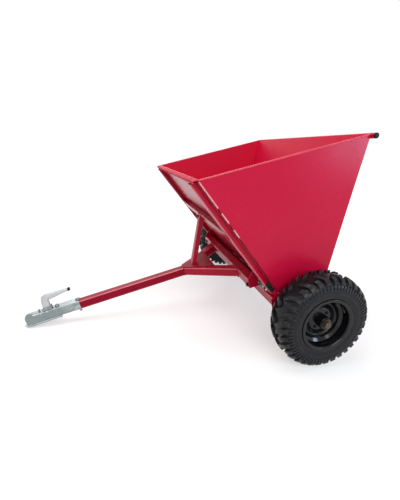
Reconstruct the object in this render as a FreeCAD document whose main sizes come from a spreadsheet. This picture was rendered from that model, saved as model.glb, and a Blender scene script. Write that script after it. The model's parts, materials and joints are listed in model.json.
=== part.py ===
import FreeCAD, Part
import math
import os
import Sketcher

# A towed sand spreader: a V-shaped sheet-steel hopper on two wheels, with a feed roller on
# the wheel shaft, an outlet gate worked by a hand lever, and a Y-shaped drawbar that ends in
# a ball coupling.  Everything is drawn as if hitched level, with the wheel shaft on the Y
# axis, +X forward to the coupling, +Y left and +Z up.  At the end the whole machine is tipped
# nose down about the shaft until the coupling rests on the floor, which is how it parks.

doc = FreeCAD.newDocument("SandSpreader")
Vector = FreeCAD.Vector

DRIVING_SIZES = [
    ("hopper_width", 1050.0, "over the outer faces of the side panels"),
    ("rim_length", 720.0, "hopper rim, front to back"),
    ("front_reach", 350.0, "front rim ahead of the shaft"),
    ("rim_height", 663.0, "hopper rim above the wheel shaft"),
    ("front_lean", 23.5, "front wall from the vertical, degrees"),
    ("rear_lean", 25.0, "rear wall from the vertical, degrees"),
    ("sheet_thick", 3.0, "hopper sheet"),
    ("throat_height", 14.0, "lower edge of the front and rear walls above the shaft"),
    ("panel_drop", 50.0, "lower edge of the side panels below the shaft"),
    ("rim_flange", 20.0, "front rim flange, front to back"),
    ("rim_lip", 12.0, "turned-down lip of the front rim flange"),
    ("rim_overhang", 5.0, "front rim flange past each side panel"),
    ("rim_tube_dia", 22.0, "round tube behind the rear rim"),
    ("rim_tube_overhang", 12.0, "round tube past each side panel"),
    ("plug_length", 10.0, "plastic plug outside the round tube"),
    ("weld_gap", 0.3, "gap left where two pieces meet at a weld"),
    ("rail_inset", 35.0, "front rails inside the side panels' outer faces"),
    ("rail_width", 40.0, "front rails, side to side"),
    ("rail_depth", 22.0, "front rails, square to the wall"),
    ("rail_wall", 2.5, "their wall"),
    ("tie_height", 392.0, "middle of the upper cross-member above the shaft"),
    ("tie_face", 45.0, "upper cross-member, along the wall"),
    ("tie_depth", 30.0, "upper cross-member, square to the wall"),
    ("beam_size", 45.0, "square tube of the drawbar, arms, crossbeam and axle beam"),
    ("beam_wall", 3.0, "its wall"),
    ("drawbar_height", 120.5, "middle of the drawbar above the shaft"),
    ("crossbeam_inset", 147.0, "crossbeam's ends inside the side panels' outer faces"),
    ("arm_reach", 229.7, "where the arm centre lines meet, ahead of the crossbeam"),
    ("arm_spread", 209.0, "arm centre line at the crossbeam, from the middle"),
    ("drawbar_tip", 1185.0, "front end of the drawbar tube, ahead of the shaft"),
    ("post_size", 30.0, "square tube of the centre post"),
    ("post_setback", 57.0, "middle of the centre post's foot behind where the arms meet"),
    ("plate_thick", 6.0, "bracket and gusset plate"),
    ("end_bracket_rise", 35.0, "upper end of the end brackets above the crossbeam"),
    ("bracket_front", 157.0, "front edge of the shaft brackets, ahead of the shaft"),
    ("bracket_low", 36.0, "lower end of that edge above the shaft"),
    ("setting_plate_width", 58.0, "setting plate, side to side"),
    ("setting_plate_height", 42.0, "setting plate above the axle beam"),
    ("setting_plate_inset", 78.0, "setting plate inside the side panel's outer face"),
    ("shaft_dia", 25.0, "wheel shaft"),
    ("shaft_fit", 0.05, "radial clearance of what sits or runs on a shaft"),
    ("shaft_gap", 1.5, "radial clearance where the shaft passes a panel"),
    ("bearing_dia", 66.0, "bearing housings"),
    ("bearing_length", 13.0, "bearing housings, side to side"),
    ("roller_dia", 96.0, "feed roller over its ribs"),
    ("rib_height", 8.0, "feed roller ribs"),
    ("rib_width", 7.0, "feed roller ribs"),
    ("rib_count", 10.0, "feed roller ribs"),
    ("roller_end_gap", 7.0, "feed roller to each side panel"),
    ("gate_rod_dia", 12.0, "rod that the outlet gate hangs on"),
    ("gate_rod_height", 30.0, "where the rod meets the wall's slope, above the shaft"),
    ("gate_thick", 3.0, "outlet gate plate"),
    ("gate_turn", 20.0, "bend between the gate's two flats, degrees"),
    ("gate_end_gap", 8.0, "outlet gate to each side panel"),
    ("roller_gap", 8.0, "closed gate and rubber lip to the roller"),
    ("lever_gap", 7.5, "gate lever to the shaft bracket"),
    ("lever_reach", 136.0, "gate lever, rod to grip"),
    ("lever_tilt", 27.4, "gate lever from the vertical, degrees"),
    ("lever_width", 18.0, "gate lever bar"),
    ("lever_thick", 5.0, "gate lever bar"),
    ("grip_dia", 20.0, "gate lever grip"),
    ("grip_length", 46.0, "gate lever grip"),
    ("lip_thick", 6.0, "rubber lip behind the roller"),
    ("lip_lap", 45.0, "rubber lip up the rear wall from its lower edge"),
    ("tyre_dia", 410.0, "tyre over the tread"),
    ("tyre_width", 140.0, "tyre at its widest"),
    ("tyre_wall", 12.0, "tyre casing"),
    ("bulge_height", 38.0, "widest part of the tyre above the rim's edge"),
    ("shoulder_drop", 28.0, "tyre's shoulder below the tread"),
    ("shoulder_share", 0.95, "width at the shoulder, share of the widest"),
    ("crown_drop", 9.0, "tread's edge below its middle"),
    ("crown_share", 0.8, "width at the tread's edge, share of the widest"),
    ("flat_share", 0.5, "flat of the tread, share of the widest"),
    ("tyre_gap", 29.0, "tyre to the side panel"),
    ("rim_seat_dia", 203.0, "bead seat of the wheel rim"),
    ("rim_flange_rise", 13.5, "wheel rim's flanges above the bead seat"),
    ("rim_well", 16.0, "depth of the rim's drop centre"),
    ("well_inner", 36.0, "inner edge of the drop centre from the wheel's middle"),
    ("well_outer", 24.0, "outer edge of the drop centre from the wheel's middle"),
    ("well_slope", 10.0, "sides of the drop centre, side to side"),
    ("rim_thick", 3.0, "wheel rim sheet"),
    ("bead_gap", 0.3, "tyre bead to rim"),
    ("disc_offset", 16.0, "wheel disc outboard of the wheel's middle"),
    ("disc_step", 10.0, "dish of the wheel disc"),
    ("disc_flat_dia", 100.0, "flat centre of the wheel disc"),
    ("disc_rise_dia", 132.0, "wheel disc where its dish ends"),
    ("hub_dia", 54.0, "hub barrel"),
    ("hub_flange_dia", 88.0, "hub flange behind the wheel disc"),
    ("hub_flange_thick", 8.0, "hub flange"),
    ("hub_length", 92.0, "hub barrel"),
    ("hub_outboard", 35.0, "hub barrel outboard of the wheel disc"),
    ("hub_side_gap", 1.0, "right hub to what stands beside it on the shaft"),
    ("nut_width", 36.0, "shaft nuts across the flats"),
    ("nut_height", 16.0, "shaft nuts"),
    ("sleeve_length", 180.0, "coupling sleeve on the drawbar"),
    ("sleeve_wall", 4.0, "coupling sleeve sheet"),
    ("sleeve_fit", 0.3, "coupling sleeve to drawbar tube"),
    ("sleeve_open", 9.0, "lower edge of the sleeve above the coupling's lip"),
    ("lip_length", 185.0, "turned-out lower lip of the coupling, front to back"),
    ("coupling_reach", 107.0, "front of the coupling past the drawbar's end"),
    ("coupling_drop", 26.5, "lower face of the coupling's lip below the drawbar's middle"),
    ("head_dia", 68.0, "coupling head over its lip"),
    ("socket_dia", 50.8, "ball socket"),
    ("socket_depth", 24.0, "straight part of the ball socket"),
    ("handle_foot", 41.0, "coupling handle's foot, front to back"),
    ("handle_front", 107.0, "front of the handle's foot behind the nose"),
    ("handle_rise", 81.0, "top of the coupling handle above the sleeve"),
    ("handle_reach", 266.0, "handle's free end behind the nose"),
    ("handle_width", 26.0, "coupling handle, side to side"),
]


class Size:
    """A length with its value and the spreadsheet expression that gives it."""

    def __init__(self, value, text):
        self.value = float(value)
        self.text = text

    def join(self, other, sign, value, flip=False):
        text = other.text if isinstance(other, Size) else repr(float(other))
        pair = (text, self.text) if flip else (self.text, text)
        return Size(value, "(%s %s %s)" % (pair[0], sign, pair[1]))

    def __add__(self, other):
        return self.join(other, "+", self.value + number(other))

    def __radd__(self, other):
        return self.join(other, "+", number(other) + self.value, True)

    def __sub__(self, other):
        return self.join(other, "-", self.value - number(other))

    def __rsub__(self, other):
        return self.join(other, "-", number(other) - self.value, True)

    def __mul__(self, other):
        return self.join(other, "*", self.value * number(other))

    def __rmul__(self, other):
        return self.join(other, "*", number(other) * self.value, True)

    def __truediv__(self, other):
        return self.join(other, "/", self.value / number(other))

    def __neg__(self):
        return Size(-self.value, "(0 - %s)" % self.text)


def number(thing):
    return thing.value if isinstance(thing, Size) else float(thing)


def expression(thing):
    return thing.text if isinstance(thing, Size) else repr(float(thing))


def sine(angle):
    return Size(math.sin(math.radians(angle.value)), "sin(%s)" % angle.text)


def cosine(angle):
    return Size(math.cos(math.radians(angle.value)), "cos(%s)" % angle.text)


def tangent(angle):
    return Size(math.tan(math.radians(angle.value)), "tan(%s)" % angle.text)


def makeSheet():
    sheet = doc.addObject("Spreadsheet::Sheet", "Sizes")
    sheet.set("A1", "name")
    sheet.set("B1", "value")
    sheet.set("C1", "what it is")
    sizes = {}
    for row, (name, value, words) in enumerate(DRIVING_SIZES, start=2):
        sheet.set("A%d" % row, name)
        sheet.set("B%d" % row, repr(value))
        sheet.set("C%d" % row, words)
        sheet.setAlias("B%d" % row, name)
        sizes[name] = Size(value, "Sizes." + name)
    doc.recompute()
    return sizes


S = makeSheet()
pieces = []

ZERO = Size(0.0, "0")
SHEET = S["sheet_thick"]
HALF_WIDTH = S["hopper_width"] / 2
PANEL_INNER = HALF_WIDTH - SHEET
BEAM = S["beam_size"]
BEAM_TOP = S["drawbar_height"] + BEAM / 2
BEAM_UNDER = S["drawbar_height"] - BEAM / 2
PLATE = S["plate_thick"]
RADIUS = S["shaft_dia"] / 2
RUNNING = RADIUS + S["shaft_fit"]
WHEEL_MIDDLE = HALF_WIDTH + S["tyre_gap"] + S["tyre_width"] / 2
SIDES = (("left", 1), ("right", -1))
SIX = 6


# ---------------------------------------------------------------- drawing helpers

def newBody(label):
    body = doc.addObject("PartDesign::Body", label)
    body.Label = label
    pieces.append(body)
    return body


def planeOf(body, role):
    return [item for item in body.Origin.OriginFeatures if item.Role == role][0]


def newSketch(body, role, offset=0.0):
    """A sketch on one of the body's own origin planes, moved along the plane's normal."""
    sketch = body.newObject("Sketcher::SketchObject", body.Name + "_sketch")
    sketch.AttachmentSupport = [(planeOf(body, role), "")]
    sketch.MapMode = "FlatFace"
    sketch.AttachmentOffset = FreeCAD.Placement(Vector(0, 0, number(offset)), FreeCAD.Rotation())
    sketch.setExpression(".AttachmentOffset.Base.z", expression(offset))
    return sketch


def drawOutline(sketch, points):
    """A closed outline of straight lines; each corner is bound to the sheet."""
    first = sketch.GeometryCount
    count = len(points)
    spots = [Vector(number(across), number(up), 0) for across, up in points]
    for index in range(count):
        sketch.addGeometry(Part.LineSegment(spots[index], spots[(index + 1) % count]))
    for index in range(count):
        following = first + (index + 1) % count
        sketch.addConstraint(Sketcher.Constraint("Coincident", first + index, 2, following, 1))
    for index, (across, up) in enumerate(points):
        for kind, distance in (("DistanceX", across), ("DistanceY", up)):
            spot = sketch.addConstraint(
                Sketcher.Constraint(kind, -1, 1, first + index, 1, number(distance)))
            sketch.setExpression("Constraints[%d]" % spot, expression(distance))


def drawCircle(sketch, across, up, radius):
    circle = sketch.addGeometry(
        Part.Circle(Vector(number(across), number(up), 0), Vector(0, 0, 1), number(radius)))
    for kind, distance in (("DistanceX", across), ("DistanceY", up)):
        spot = sketch.addConstraint(
            Sketcher.Constraint(kind, -1, 1, circle, 3, number(distance)))
        sketch.setExpression("Constraints[%d]" % spot, expression(distance))
    spot = sketch.addConstraint(Sketcher.Constraint("Radius", circle, number(radius)))
    sketch.setExpression("Constraints[%d]" % spot, expression(radius))


def extrude(body, kind, sketch, length):
    """A Pad or Pocket that runs equally to both sides of its sketch."""
    feature = body.newObject("PartDesign::" + kind, body.Name + "_" + kind.lower())
    feature.Profile = sketch
    feature.SideType = "Symmetric"
    feature.Length = number(length)
    feature.setExpression("Length", expression(length))
    sketch.Visibility = False
    doc.recompute()
    return feature


def sidePlate(label, points, low, high):
    """An outline in the XZ plane, made solid from y = low to y = high."""
    body = newBody(label)
    # the XZ plane's normal points to -Y, so the offset changes sign
    sketch = newSketch(body, "XZ_Plane", -(low + high) / 2)
    drawOutline(sketch, points)
    extrude(body, "Pad", sketch, high - low)
    return body


def hollow(body, role, offset, points, length):
    """Cuts an outline out of a body, equally to both sides of its plane."""
    before = body.Shape.Volume
    sketch = newSketch(body, role, offset)
    drawOutline(sketch, points)
    extrude(body, "Pocket", sketch, length)
    if body.Shape.Volume >= before:
        raise RuntimeError("the cut in %s removed nothing" % body.Label)


def drill(body, role, offset, holes, length):
    """Cuts round holes, given as (across, up, radius)."""
    before = body.Shape.Volume
    sketch = newSketch(body, role, offset)
    for across, up, radius in holes:
        drawCircle(sketch, across, up, radius)
    extrude(body, "Pocket", sketch, length)
    if body.Shape.Volume >= before:
        raise RuntimeError("the hole in %s removed nothing" % body.Label)


def roundBar(body, across, up, radius, low, high):
    """A round bar along Y, from y = low to y = high."""
    sketch = newSketch(body, "XZ_Plane", -(low + high) / 2)
    drawCircle(sketch, across, up, radius)
    extrude(body, "Pad", sketch, high - low)


def turn(body, points):
    """Turns an outline given as (y, radius) about the Y axis."""
    sketch = newSketch(body, "YZ_Plane")
    drawOutline(sketch, points)
    feature = body.newObject("PartDesign::Revolution", body.Name + "_turned")
    feature.Profile = sketch
    feature.ReferenceAxis = (sketch, ["H_Axis"])
    feature.Angle = 360
    sketch.Visibility = False
    doc.recompute()
    return feature


def ring(label, low, high, inner, outer):
    """A round collar about the wheel shaft, from y = low to y = high."""
    body = newBody(label)
    turn(body, [(low, inner), (high, inner), (high, outer), (low, outer)])
    return body


def bothSides(low, high, side):
    """The y limits of a left-hand piece, or of its right-hand twin."""
    return (low, high) if side > 0 else (-high, -low)


# ---------------------------------------------------------------- hopper

class Wall:
    """The outer face of the front (+1) or rear (-1) hopper wall."""

    def __init__(self, reach, lean, sign):
        self.reach = reach
        self.lean = lean
        self.sign = sign

    def face(self, height, out=ZERO):
        """x at a height, on the face or on a plane that lies out from it."""
        x = self.reach - (S["rim_height"] - height) * tangent(self.lean) + out / cosine(self.lean)
        return x if self.sign > 0 else -x

    def band(self, low, high, near, far):
        """A band along the slope, near and far measured square to it."""
        return [(self.face(low, near), low), (self.face(low, far), low),
                (self.face(high, far), high), (self.face(high, near), high)]


FRONT = Wall(S["front_reach"], S["front_lean"], 1)
REAR = Wall(S["rim_length"] - S["front_reach"], S["rear_lean"], -1)
RIM = S["rim_height"]
THROAT = S["throat_height"]
SHAFT_HOLE = RADIUS + S["shaft_gap"]

for name, side in SIDES:
    low, high = bothSides(PANEL_INNER, HALF_WIDTH, side)
    bottom = -S["panel_drop"]
    panel = sidePlate(name + "_side_panel", [
        (FRONT.face(bottom), bottom), (FRONT.face(RIM), RIM),
        (REAR.face(RIM), RIM), (REAR.face(bottom), bottom)], low, high)
    drill(panel, "XZ_Plane", -(low + high) / 2, [(0, 0, SHAFT_HOLE)], SHEET * 2)

sidePlate("front_wall", FRONT.band(THROAT, RIM, -SHEET, ZERO), -PANEL_INNER, PANEL_INNER)
sidePlate("rear_wall", REAR.band(THROAT, RIM, -SHEET, ZERO), -PANEL_INNER, PANEL_INNER)

flangeBack = FRONT.face(RIM)
flangeFront = flangeBack + S["rim_flange"]
flangeLow = RIM - S["rim_lip"]
flangeHalf = HALF_WIDTH + S["rim_overhang"]
sidePlate("front_rim_flange", [
    (flangeBack, RIM), (flangeFront, RIM), (flangeFront, flangeLow),
    (flangeFront - SHEET, flangeLow), (flangeFront - SHEET, RIM - SHEET),
    (flangeBack, RIM - SHEET)], -flangeHalf, flangeHalf)

# the round tube lies in the corner behind the rear rim, its top level with the rim
tubeRadius = S["rim_tube_dia"] / 2
tubeHeight = RIM - tubeRadius
tubeBack = REAR.face(tubeHeight, tubeRadius + S["weld_gap"])
tubeHalf = HALF_WIDTH + S["rim_tube_overhang"]
roundBar(newBody("rear_rim_tube"), tubeBack, tubeHeight, tubeRadius, -tubeHalf, tubeHalf)
for name, side in SIDES:
    low, high = bothSides(tubeHalf, tubeHalf + S["plug_length"], side)
    roundBar(newBody(name + "_tube_plug"), tubeBack, tubeHeight, tubeRadius, low, high)

# ---------------------------------------------------------------- front frame

# the axle beam lies across under the front wall and touches it along its upper edge
axleBack = FRONT.face(BEAM_UNDER)
axleFront = axleBack + BEAM
axleLow = BEAM_UNDER - BEAM
sidePlate("axle_beam", [(axleBack, axleLow), (axleFront, axleLow), (axleFront, BEAM_UNDER),
                        (axleBack, BEAM_UNDER)], -HALF_WIDTH, HALF_WIDTH)

# the crossbeam lies ahead of the axle beam and one beam higher
crossFront = axleFront + BEAM
crossHalf = HALF_WIDTH - S["crossbeam_inset"]
sidePlate("crossbeam", [(axleFront, BEAM_UNDER), (crossFront, BEAM_UNDER),
                        (crossFront, BEAM_TOP), (axleFront, BEAM_TOP)],
          -crossHalf, crossHalf)

RAIL_OUTER = HALF_WIDTH - S["rail_inset"]
RAIL_INNER = RAIL_OUTER - S["rail_width"]
railTop = flangeLow - S["weld_gap"]
railWall = S["rail_wall"]
beyond = S["rail_depth"]
for name, side in SIDES:
    low, high = bothSides(RAIL_INNER, RAIL_OUTER, side)
    rail = sidePlate(name + "_front_rail",
                     FRONT.band(BEAM_UNDER, railTop, ZERO, S["rail_depth"]), low, high)
    hollow(rail, "XZ_Plane", -(low + high) / 2,
           FRONT.band(BEAM_UNDER - beyond, railTop + beyond, railWall,
                      S["rail_depth"] - railWall), S["rail_width"] - railWall * 2)

tieRise = S["tie_face"] / 2 * cosine(S["front_lean"])
tieLow = S["tie_height"] - tieRise
tieHigh = S["tie_height"] + tieRise
sidePlate("upper_cross_member", FRONT.band(tieLow, tieHigh, ZERO, S["tie_depth"]),
          -RAIL_INNER, RAIL_INNER)

# each arm runs from the drawbar's side face to the crossbeam's front face
armStart = crossFront + S["arm_reach"]
armSlope = S["arm_spread"] / S["arm_reach"]
armSkew = Size(math.sqrt(1 + armSlope.value ** 2), "sqrt(1 + (%s)^2)" % armSlope.text)
halfAcross = BEAM / 2 * armSkew


def armPoint(x, edge):
    """y of an arm's front (edge +1) or rear (edge -1) face at x."""
    return (armStart - x) * armSlope + halfAcross * edge


def armX(y, edge):
    """x at which an arm's front or rear face has a given y."""
    return armStart - (y - halfAcross * edge) / armSlope


drawbarSide = BEAM / 2
drawbarBack = armX(drawbarSide, -1)
for name, side in SIDES:
    arm = newBody(name + "_drawbar_arm")
    sketch = newSketch(arm, "XY_Plane", S["drawbar_height"])
    corners = [(armX(drawbarSide, 1), drawbarSide), (crossFront, armPoint(crossFront, 1)),
               (crossFront, armPoint(crossFront, -1)), (drawbarBack, drawbarSide)]
    drawOutline(sketch, [(x, y * side) for x, y in corners])
    extrude(arm, "Pad", sketch, BEAM)

drawbar = newBody("drawbar_tube")
sketch = newSketch(drawbar, "XY_Plane", S["drawbar_height"])
drawOutline(sketch, [(drawbarBack, -drawbarSide), (S["drawbar_tip"], -drawbarSide),
                     (S["drawbar_tip"], drawbarSide), (drawbarBack, drawbarSide)])
extrude(drawbar, "Pad", sketch, BEAM)
bore = drawbarSide - S["beam_wall"]
hollow(drawbar, "XY_Plane", S["drawbar_height"],
       [(drawbarBack - BEAM, -bore), (S["drawbar_tip"] + BEAM, -bore),
        (S["drawbar_tip"] + BEAM, bore), (drawbarBack - BEAM, bore)], bore * 2)

# a plate over the fork carries the post's foot
gusset = newBody("fork_gusset")
gussetTop = BEAM_TOP + PLATE
postFoot = armStart - S["post_setback"]
gussetBack = postFoot - S["post_size"] * 3
sketch = newSketch(gusset, "XY_Plane", BEAM_TOP + PLATE / 2)
drawOutline(sketch, [
    (armX(drawbarSide, 1), drawbarSide), (gussetBack, armPoint(gussetBack, 0)),
    (gussetBack, -armPoint(gussetBack, 0)), (armX(drawbarSide, 1), -drawbarSide)])
extrude(gusset, "Pad", sketch, PLATE)

# the post leans back from the fork to the upper cross-member's front face
tieMiddle = (tieLow + tieHigh) / 2
postTopX = FRONT.face(tieMiddle, S["tie_depth"])
postSlope = (postFoot - postTopX) / (tieMiddle - gussetTop)
postSkew = Size(math.sqrt(1 + postSlope.value ** 2), "sqrt(1 + (%s)^2)" % postSlope.text)
postHalf = S["post_size"] / 2 * postSkew


def postMeet(edge):
    """The point where a post face meets the plane of the cross-member's front face."""
    lean = tangent(S["front_lean"])
    startX = postFoot + postHalf * edge
    # post: x = startX - (z - gussetTop) * postSlope; plane: x = postTopX + (z - tieMiddle) * lean
    height = (startX - postTopX + gussetTop * postSlope + tieMiddle * lean) / (lean + postSlope)
    return (postTopX + (height - tieMiddle) * lean, height)


sidePlate("centre_post", [
    (postFoot - postHalf, gussetTop), (postFoot + postHalf, gussetTop),
    postMeet(1), postMeet(-1)], -S["post_size"] / 2, S["post_size"] / 2)

# ---------------------------------------------------------------- brackets and bearings

rodOut = S["gate_rod_dia"] / 2 + S["lever_thick"]
gateRodX = FRONT.face(S["gate_rod_height"]) + rodOut * cosine(S["front_lean"])
gateRodZ = S["gate_rod_height"] - rodOut * sine(S["front_lean"])
gateHole = S["gate_rod_dia"] / 2 + S["shaft_fit"]
BRACKET_OUTER = HALF_WIDTH + PLATE
plateEdge = S["bearing_dia"] / 2 + PLATE * 2
bracketTop = BEAM_TOP + S["end_bracket_rise"]

for name, side in SIDES:
    low, high = bothSides(HALF_WIDTH, BRACKET_OUTER, side)
    bracket = sidePlate(name + "_shaft_bracket", [
        (-plateEdge, -plateEdge), (plateEdge, -plateEdge),
        (S["bracket_front"], S["bracket_low"]), (S["bracket_front"], BEAM_UNDER),
        (axleBack, BEAM_UNDER + plateEdge / 3), (-plateEdge, plateEdge)], low, high)
    drill(bracket, "XZ_Plane", -(low + high) / 2,
          [(0, 0, SHAFT_HOLE), (gateRodX, gateRodZ, gateHole)], PLATE * 2)
    low, high = bothSides(BRACKET_OUTER, BRACKET_OUTER + S["bearing_length"], side)
    ring(name + "_bearing", low, high, RUNNING, S["bearing_dia"] / 2)
    low, high = bothSides(crossHalf, crossHalf + PLATE, side)
    sidePlate(name + "_end_bracket", [
        (axleBack, BEAM_UNDER), (crossFront, BEAM_UNDER), (crossFront, BEAM_TOP),
        (FRONT.face(bracketTop, S["rail_depth"]), bracketTop), (FRONT.face(bracketTop), bracketTop)],
        low, high)

settingPlate = newBody("setting_plate")
sketch = newSketch(settingPlate, "YZ_Plane", axleFront - SHEET / 2)
plateEnd = HALF_WIDTH - S["setting_plate_inset"]
plateStart = plateEnd - S["setting_plate_width"]
plateTop = BEAM_UNDER + S["setting_plate_height"]
drawOutline(sketch, [(plateStart, BEAM_UNDER), (plateEnd, BEAM_UNDER),
                     (plateEnd, plateTop), (plateStart, plateTop)])
extrude(settingPlate, "Pad", sketch, SHEET)

# ---------------------------------------------------------------- shaft, roller, gate and lip

discFace = WHEEL_MIDDLE + S["disc_offset"]
hubOuter = discFace + S["hub_outboard"]
hubInner = hubOuter - S["hub_length"]
nutStart = hubOuter + S["hub_side_gap"]
shaftHalf = nutStart + S["nut_height"]
roundBar(newBody("wheel_shaft"), 0, 0, RADIUS, -shaftHalf, shaftHalf)

rollerHalf = PANEL_INNER - S["roller_end_gap"]
rollerRadius = S["roller_dia"] / 2
rollerCore = rollerRadius - S["rib_height"]
roller = newBody("feed_roller")
turn(roller, [(-rollerHalf, RUNNING), (rollerHalf, RUNNING), (rollerHalf, rollerCore),
              (-rollerHalf, rollerCore)])
ribSketch = newSketch(roller, "XZ_Plane")
ribHalf = S["rib_width"] / 2
ribRoot = rollerCore - ribHalf
drawOutline(ribSketch, [(-ribHalf, ribRoot), (ribHalf, ribRoot), (ribHalf, rollerRadius),
                        (-ribHalf, rollerRadius)])
rib = extrude(roller, "Pad", ribSketch, rollerHalf * 2)
ribs = roller.newObject("PartDesign::PolarPattern", "feed_roller_ribs")
ribs.Originals = [rib]
ribs.Axis = (ribSketch, ["N_Axis"])
ribs.Angle = 360
ribs.Occurrences = int(S["rib_count"].value)
ribs.setExpression("Occurrences", S["rib_count"].text)
roller.Tip = ribs
doc.recompute()

# the gate hangs on its rod and bends in under the roller
gateHalf = PANEL_INNER - S["gate_end_gap"]
gateThick = S["gate_thick"]
gateReach = rollerRadius + S["roller_gap"]
gateAngle = S["front_lean"] + S["gate_turn"]
rodRadius = S["gate_rod_dia"] / 2
elbowX = gateReach * cosine(S["front_lean"]) + gateThick
elbowZ = -gateReach * sine(S["front_lean"])
tipX = gateReach * sine(gateAngle)
tipZ = -gateReach * cosine(gateAngle)
gate = newBody("outlet_gate")
sketch = newSketch(gate, "XZ_Plane")
drawOutline(sketch, [
    (gateRodX - rodRadius, gateRodZ), (gateRodX, gateRodZ - rodRadius),
    (elbowX + gateThick, elbowZ), (tipX + gateThick, tipZ - gateThick),
    (tipX, tipZ), (elbowX, elbowZ)])
extrude(gate, "Pad", sketch, gateHalf * 2)
leverSide = BRACKET_OUTER + S["lever_gap"]
leverHigh = leverSide + S["lever_thick"]
rodHalf = leverHigh + gateThick
sketch = newSketch(gate, "XZ_Plane")
drawCircle(sketch, gateRodX, gateRodZ, rodRadius)
extrude(gate, "Pad", sketch, rodHalf * 2)

tilt = S["lever_tilt"]
leverTipX = gateRodX + S["lever_reach"] * sine(tilt)
leverTipZ = gateRodZ + S["lever_reach"] * cosine(tilt)
sideX = S["lever_width"] / 2 * cosine(tilt)
sideZ = S["lever_width"] / 2 * sine(tilt)
footX = gateRodX - S["lever_width"] / 2 * sine(tilt)
footZ = gateRodZ - S["lever_width"] / 2 * cosine(tilt)
leverMiddle = (leverSide + leverHigh) / 2
lever = sidePlate("gate_lever", [
    (footX - sideX, footZ + sideZ), (footX + sideX, footZ - sideZ),
    (leverTipX + sideX, leverTipZ - sideZ), (leverTipX - sideX, leverTipZ + sideZ)],
    leverSide, leverHigh)
drill(lever, "XZ_Plane", -leverMiddle, [(gateRodX, gateRodZ, gateHole)], S["lever_thick"] * 2)

knob = newBody("lever_knob")
grip = knob.newObject("PartDesign::AdditiveCylinder", "lever_knob_grip")
grip.AttachmentSupport = [(planeOf(knob, "XY_Plane"), "")]
grip.MapMode = "FlatFace"
grip.AttachmentOffset = FreeCAD.Placement(
    Vector(leverTipX.value, leverMiddle.value, leverTipZ.value),
    FreeCAD.Rotation(Vector(0, 1, 0), tilt.value))
for axis, place in (("x", leverTipX), ("y", leverMiddle), ("z", leverTipZ)):
    grip.setExpression(".AttachmentOffset.Base." + axis, place.text)
grip.setExpression(".AttachmentOffset.Rotation.Angle", tilt.text)
grip.setExpression("Radius", (S["grip_dia"] / 2).text)
grip.setExpression("Height", S["grip_length"].text)
doc.recompute()

lipLow = S["roller_gap"] - rollerRadius * cosine(S["rear_lean"])
sidePlate("rear_lip", REAR.band(lipLow, THROAT + S["lip_lap"], ZERO, S["lip_thick"]),
          -gateHalf, gateHalf)

# ---------------------------------------------------------------- wheels

rimSeat = S["rim_seat_dia"] / 2
rimEdge = rimSeat + S["rim_flange_rise"]
rimThick = S["rim_thick"]
discThick = rimThick + 1


def tyreOutline(side):
    """Outside from bead to bead over the tread, then back along the inside."""
    half = S["tyre_width"] / 2
    wall = S["tyre_wall"]
    tread = S["tyre_dia"] / 2
    bead = rimSeat + S["bead_gap"]
    beadY = half - (rimThick + S["bead_gap"]) * 2
    bulge = rimEdge + S["bulge_height"]
    shoulder = tread - S["shoulder_drop"]
    crown = tread - S["crown_drop"]
    outer = [(beadY, bead), (beadY, rimEdge + rimThick), (half - rimThick, (rimEdge + bulge) / 2),
             (half, bulge), (half * S["shoulder_share"], shoulder),
             (half * S["crown_share"], crown), (half * S["flat_share"], tread)]
    inner = [(half * S["flat_share"] - wall / 4, tread - wall),
             (half * S["crown_share"] - wall / 2, crown - wall),
             (half - wall, bulge), (half - wall, rimEdge + wall), (beadY - wall, bead)]
    outline = outer + [(-y, r) for y, r in reversed(outer)]
    outline += [(-y, r) for y, r in reversed(inner)] + inner
    return [(WHEEL_MIDDLE * side + y, r) for y, r in outline]


def rimOutline(side):
    half = S["tyre_width"] / 2 - rimThick
    well = rimSeat - S["rim_well"]
    slope = S["well_slope"]
    wellIn = -S["well_inner"]
    wellOut = S["well_outer"]
    under = rimSeat - rimThick
    edging = rimThick / 2
    points = [
        (-half, rimEdge), (-half + rimThick, rimEdge), (-half + rimThick, rimSeat),
        (wellIn, rimSeat), (wellIn + slope, well), (wellOut - slope, well), (wellOut, rimSeat),
        (half - rimThick, rimSeat), (half - rimThick, rimEdge), (half, rimEdge), (half, under),
        (wellOut + edging, under), (wellOut - slope + edging, well - rimThick),
        (wellIn + slope - edging, well - rimThick), (wellIn - edging, under), (-half, under)]
    return [(WHEEL_MIDDLE * side + y * side, r) for y, r in points]


def discOutline(side):
    well = rimSeat - S["rim_well"] - rimThick / 2
    flat = S["disc_flat_dia"] / 2
    rise = S["disc_rise_dia"] / 2
    inner = S["hub_dia"] / 2 + S["bead_gap"]
    face = S["disc_offset"]
    back = face - S["disc_step"]
    points = [(face, inner), (face, flat), (back, rise), (back, well),
              (back - discThick, well), (back - discThick, rise - discThick / 2),
              (face - discThick, flat - discThick / 2), (face - discThick, inner)]
    return [(WHEEL_MIDDLE * side + y * side, r) for y, r in points]


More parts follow.
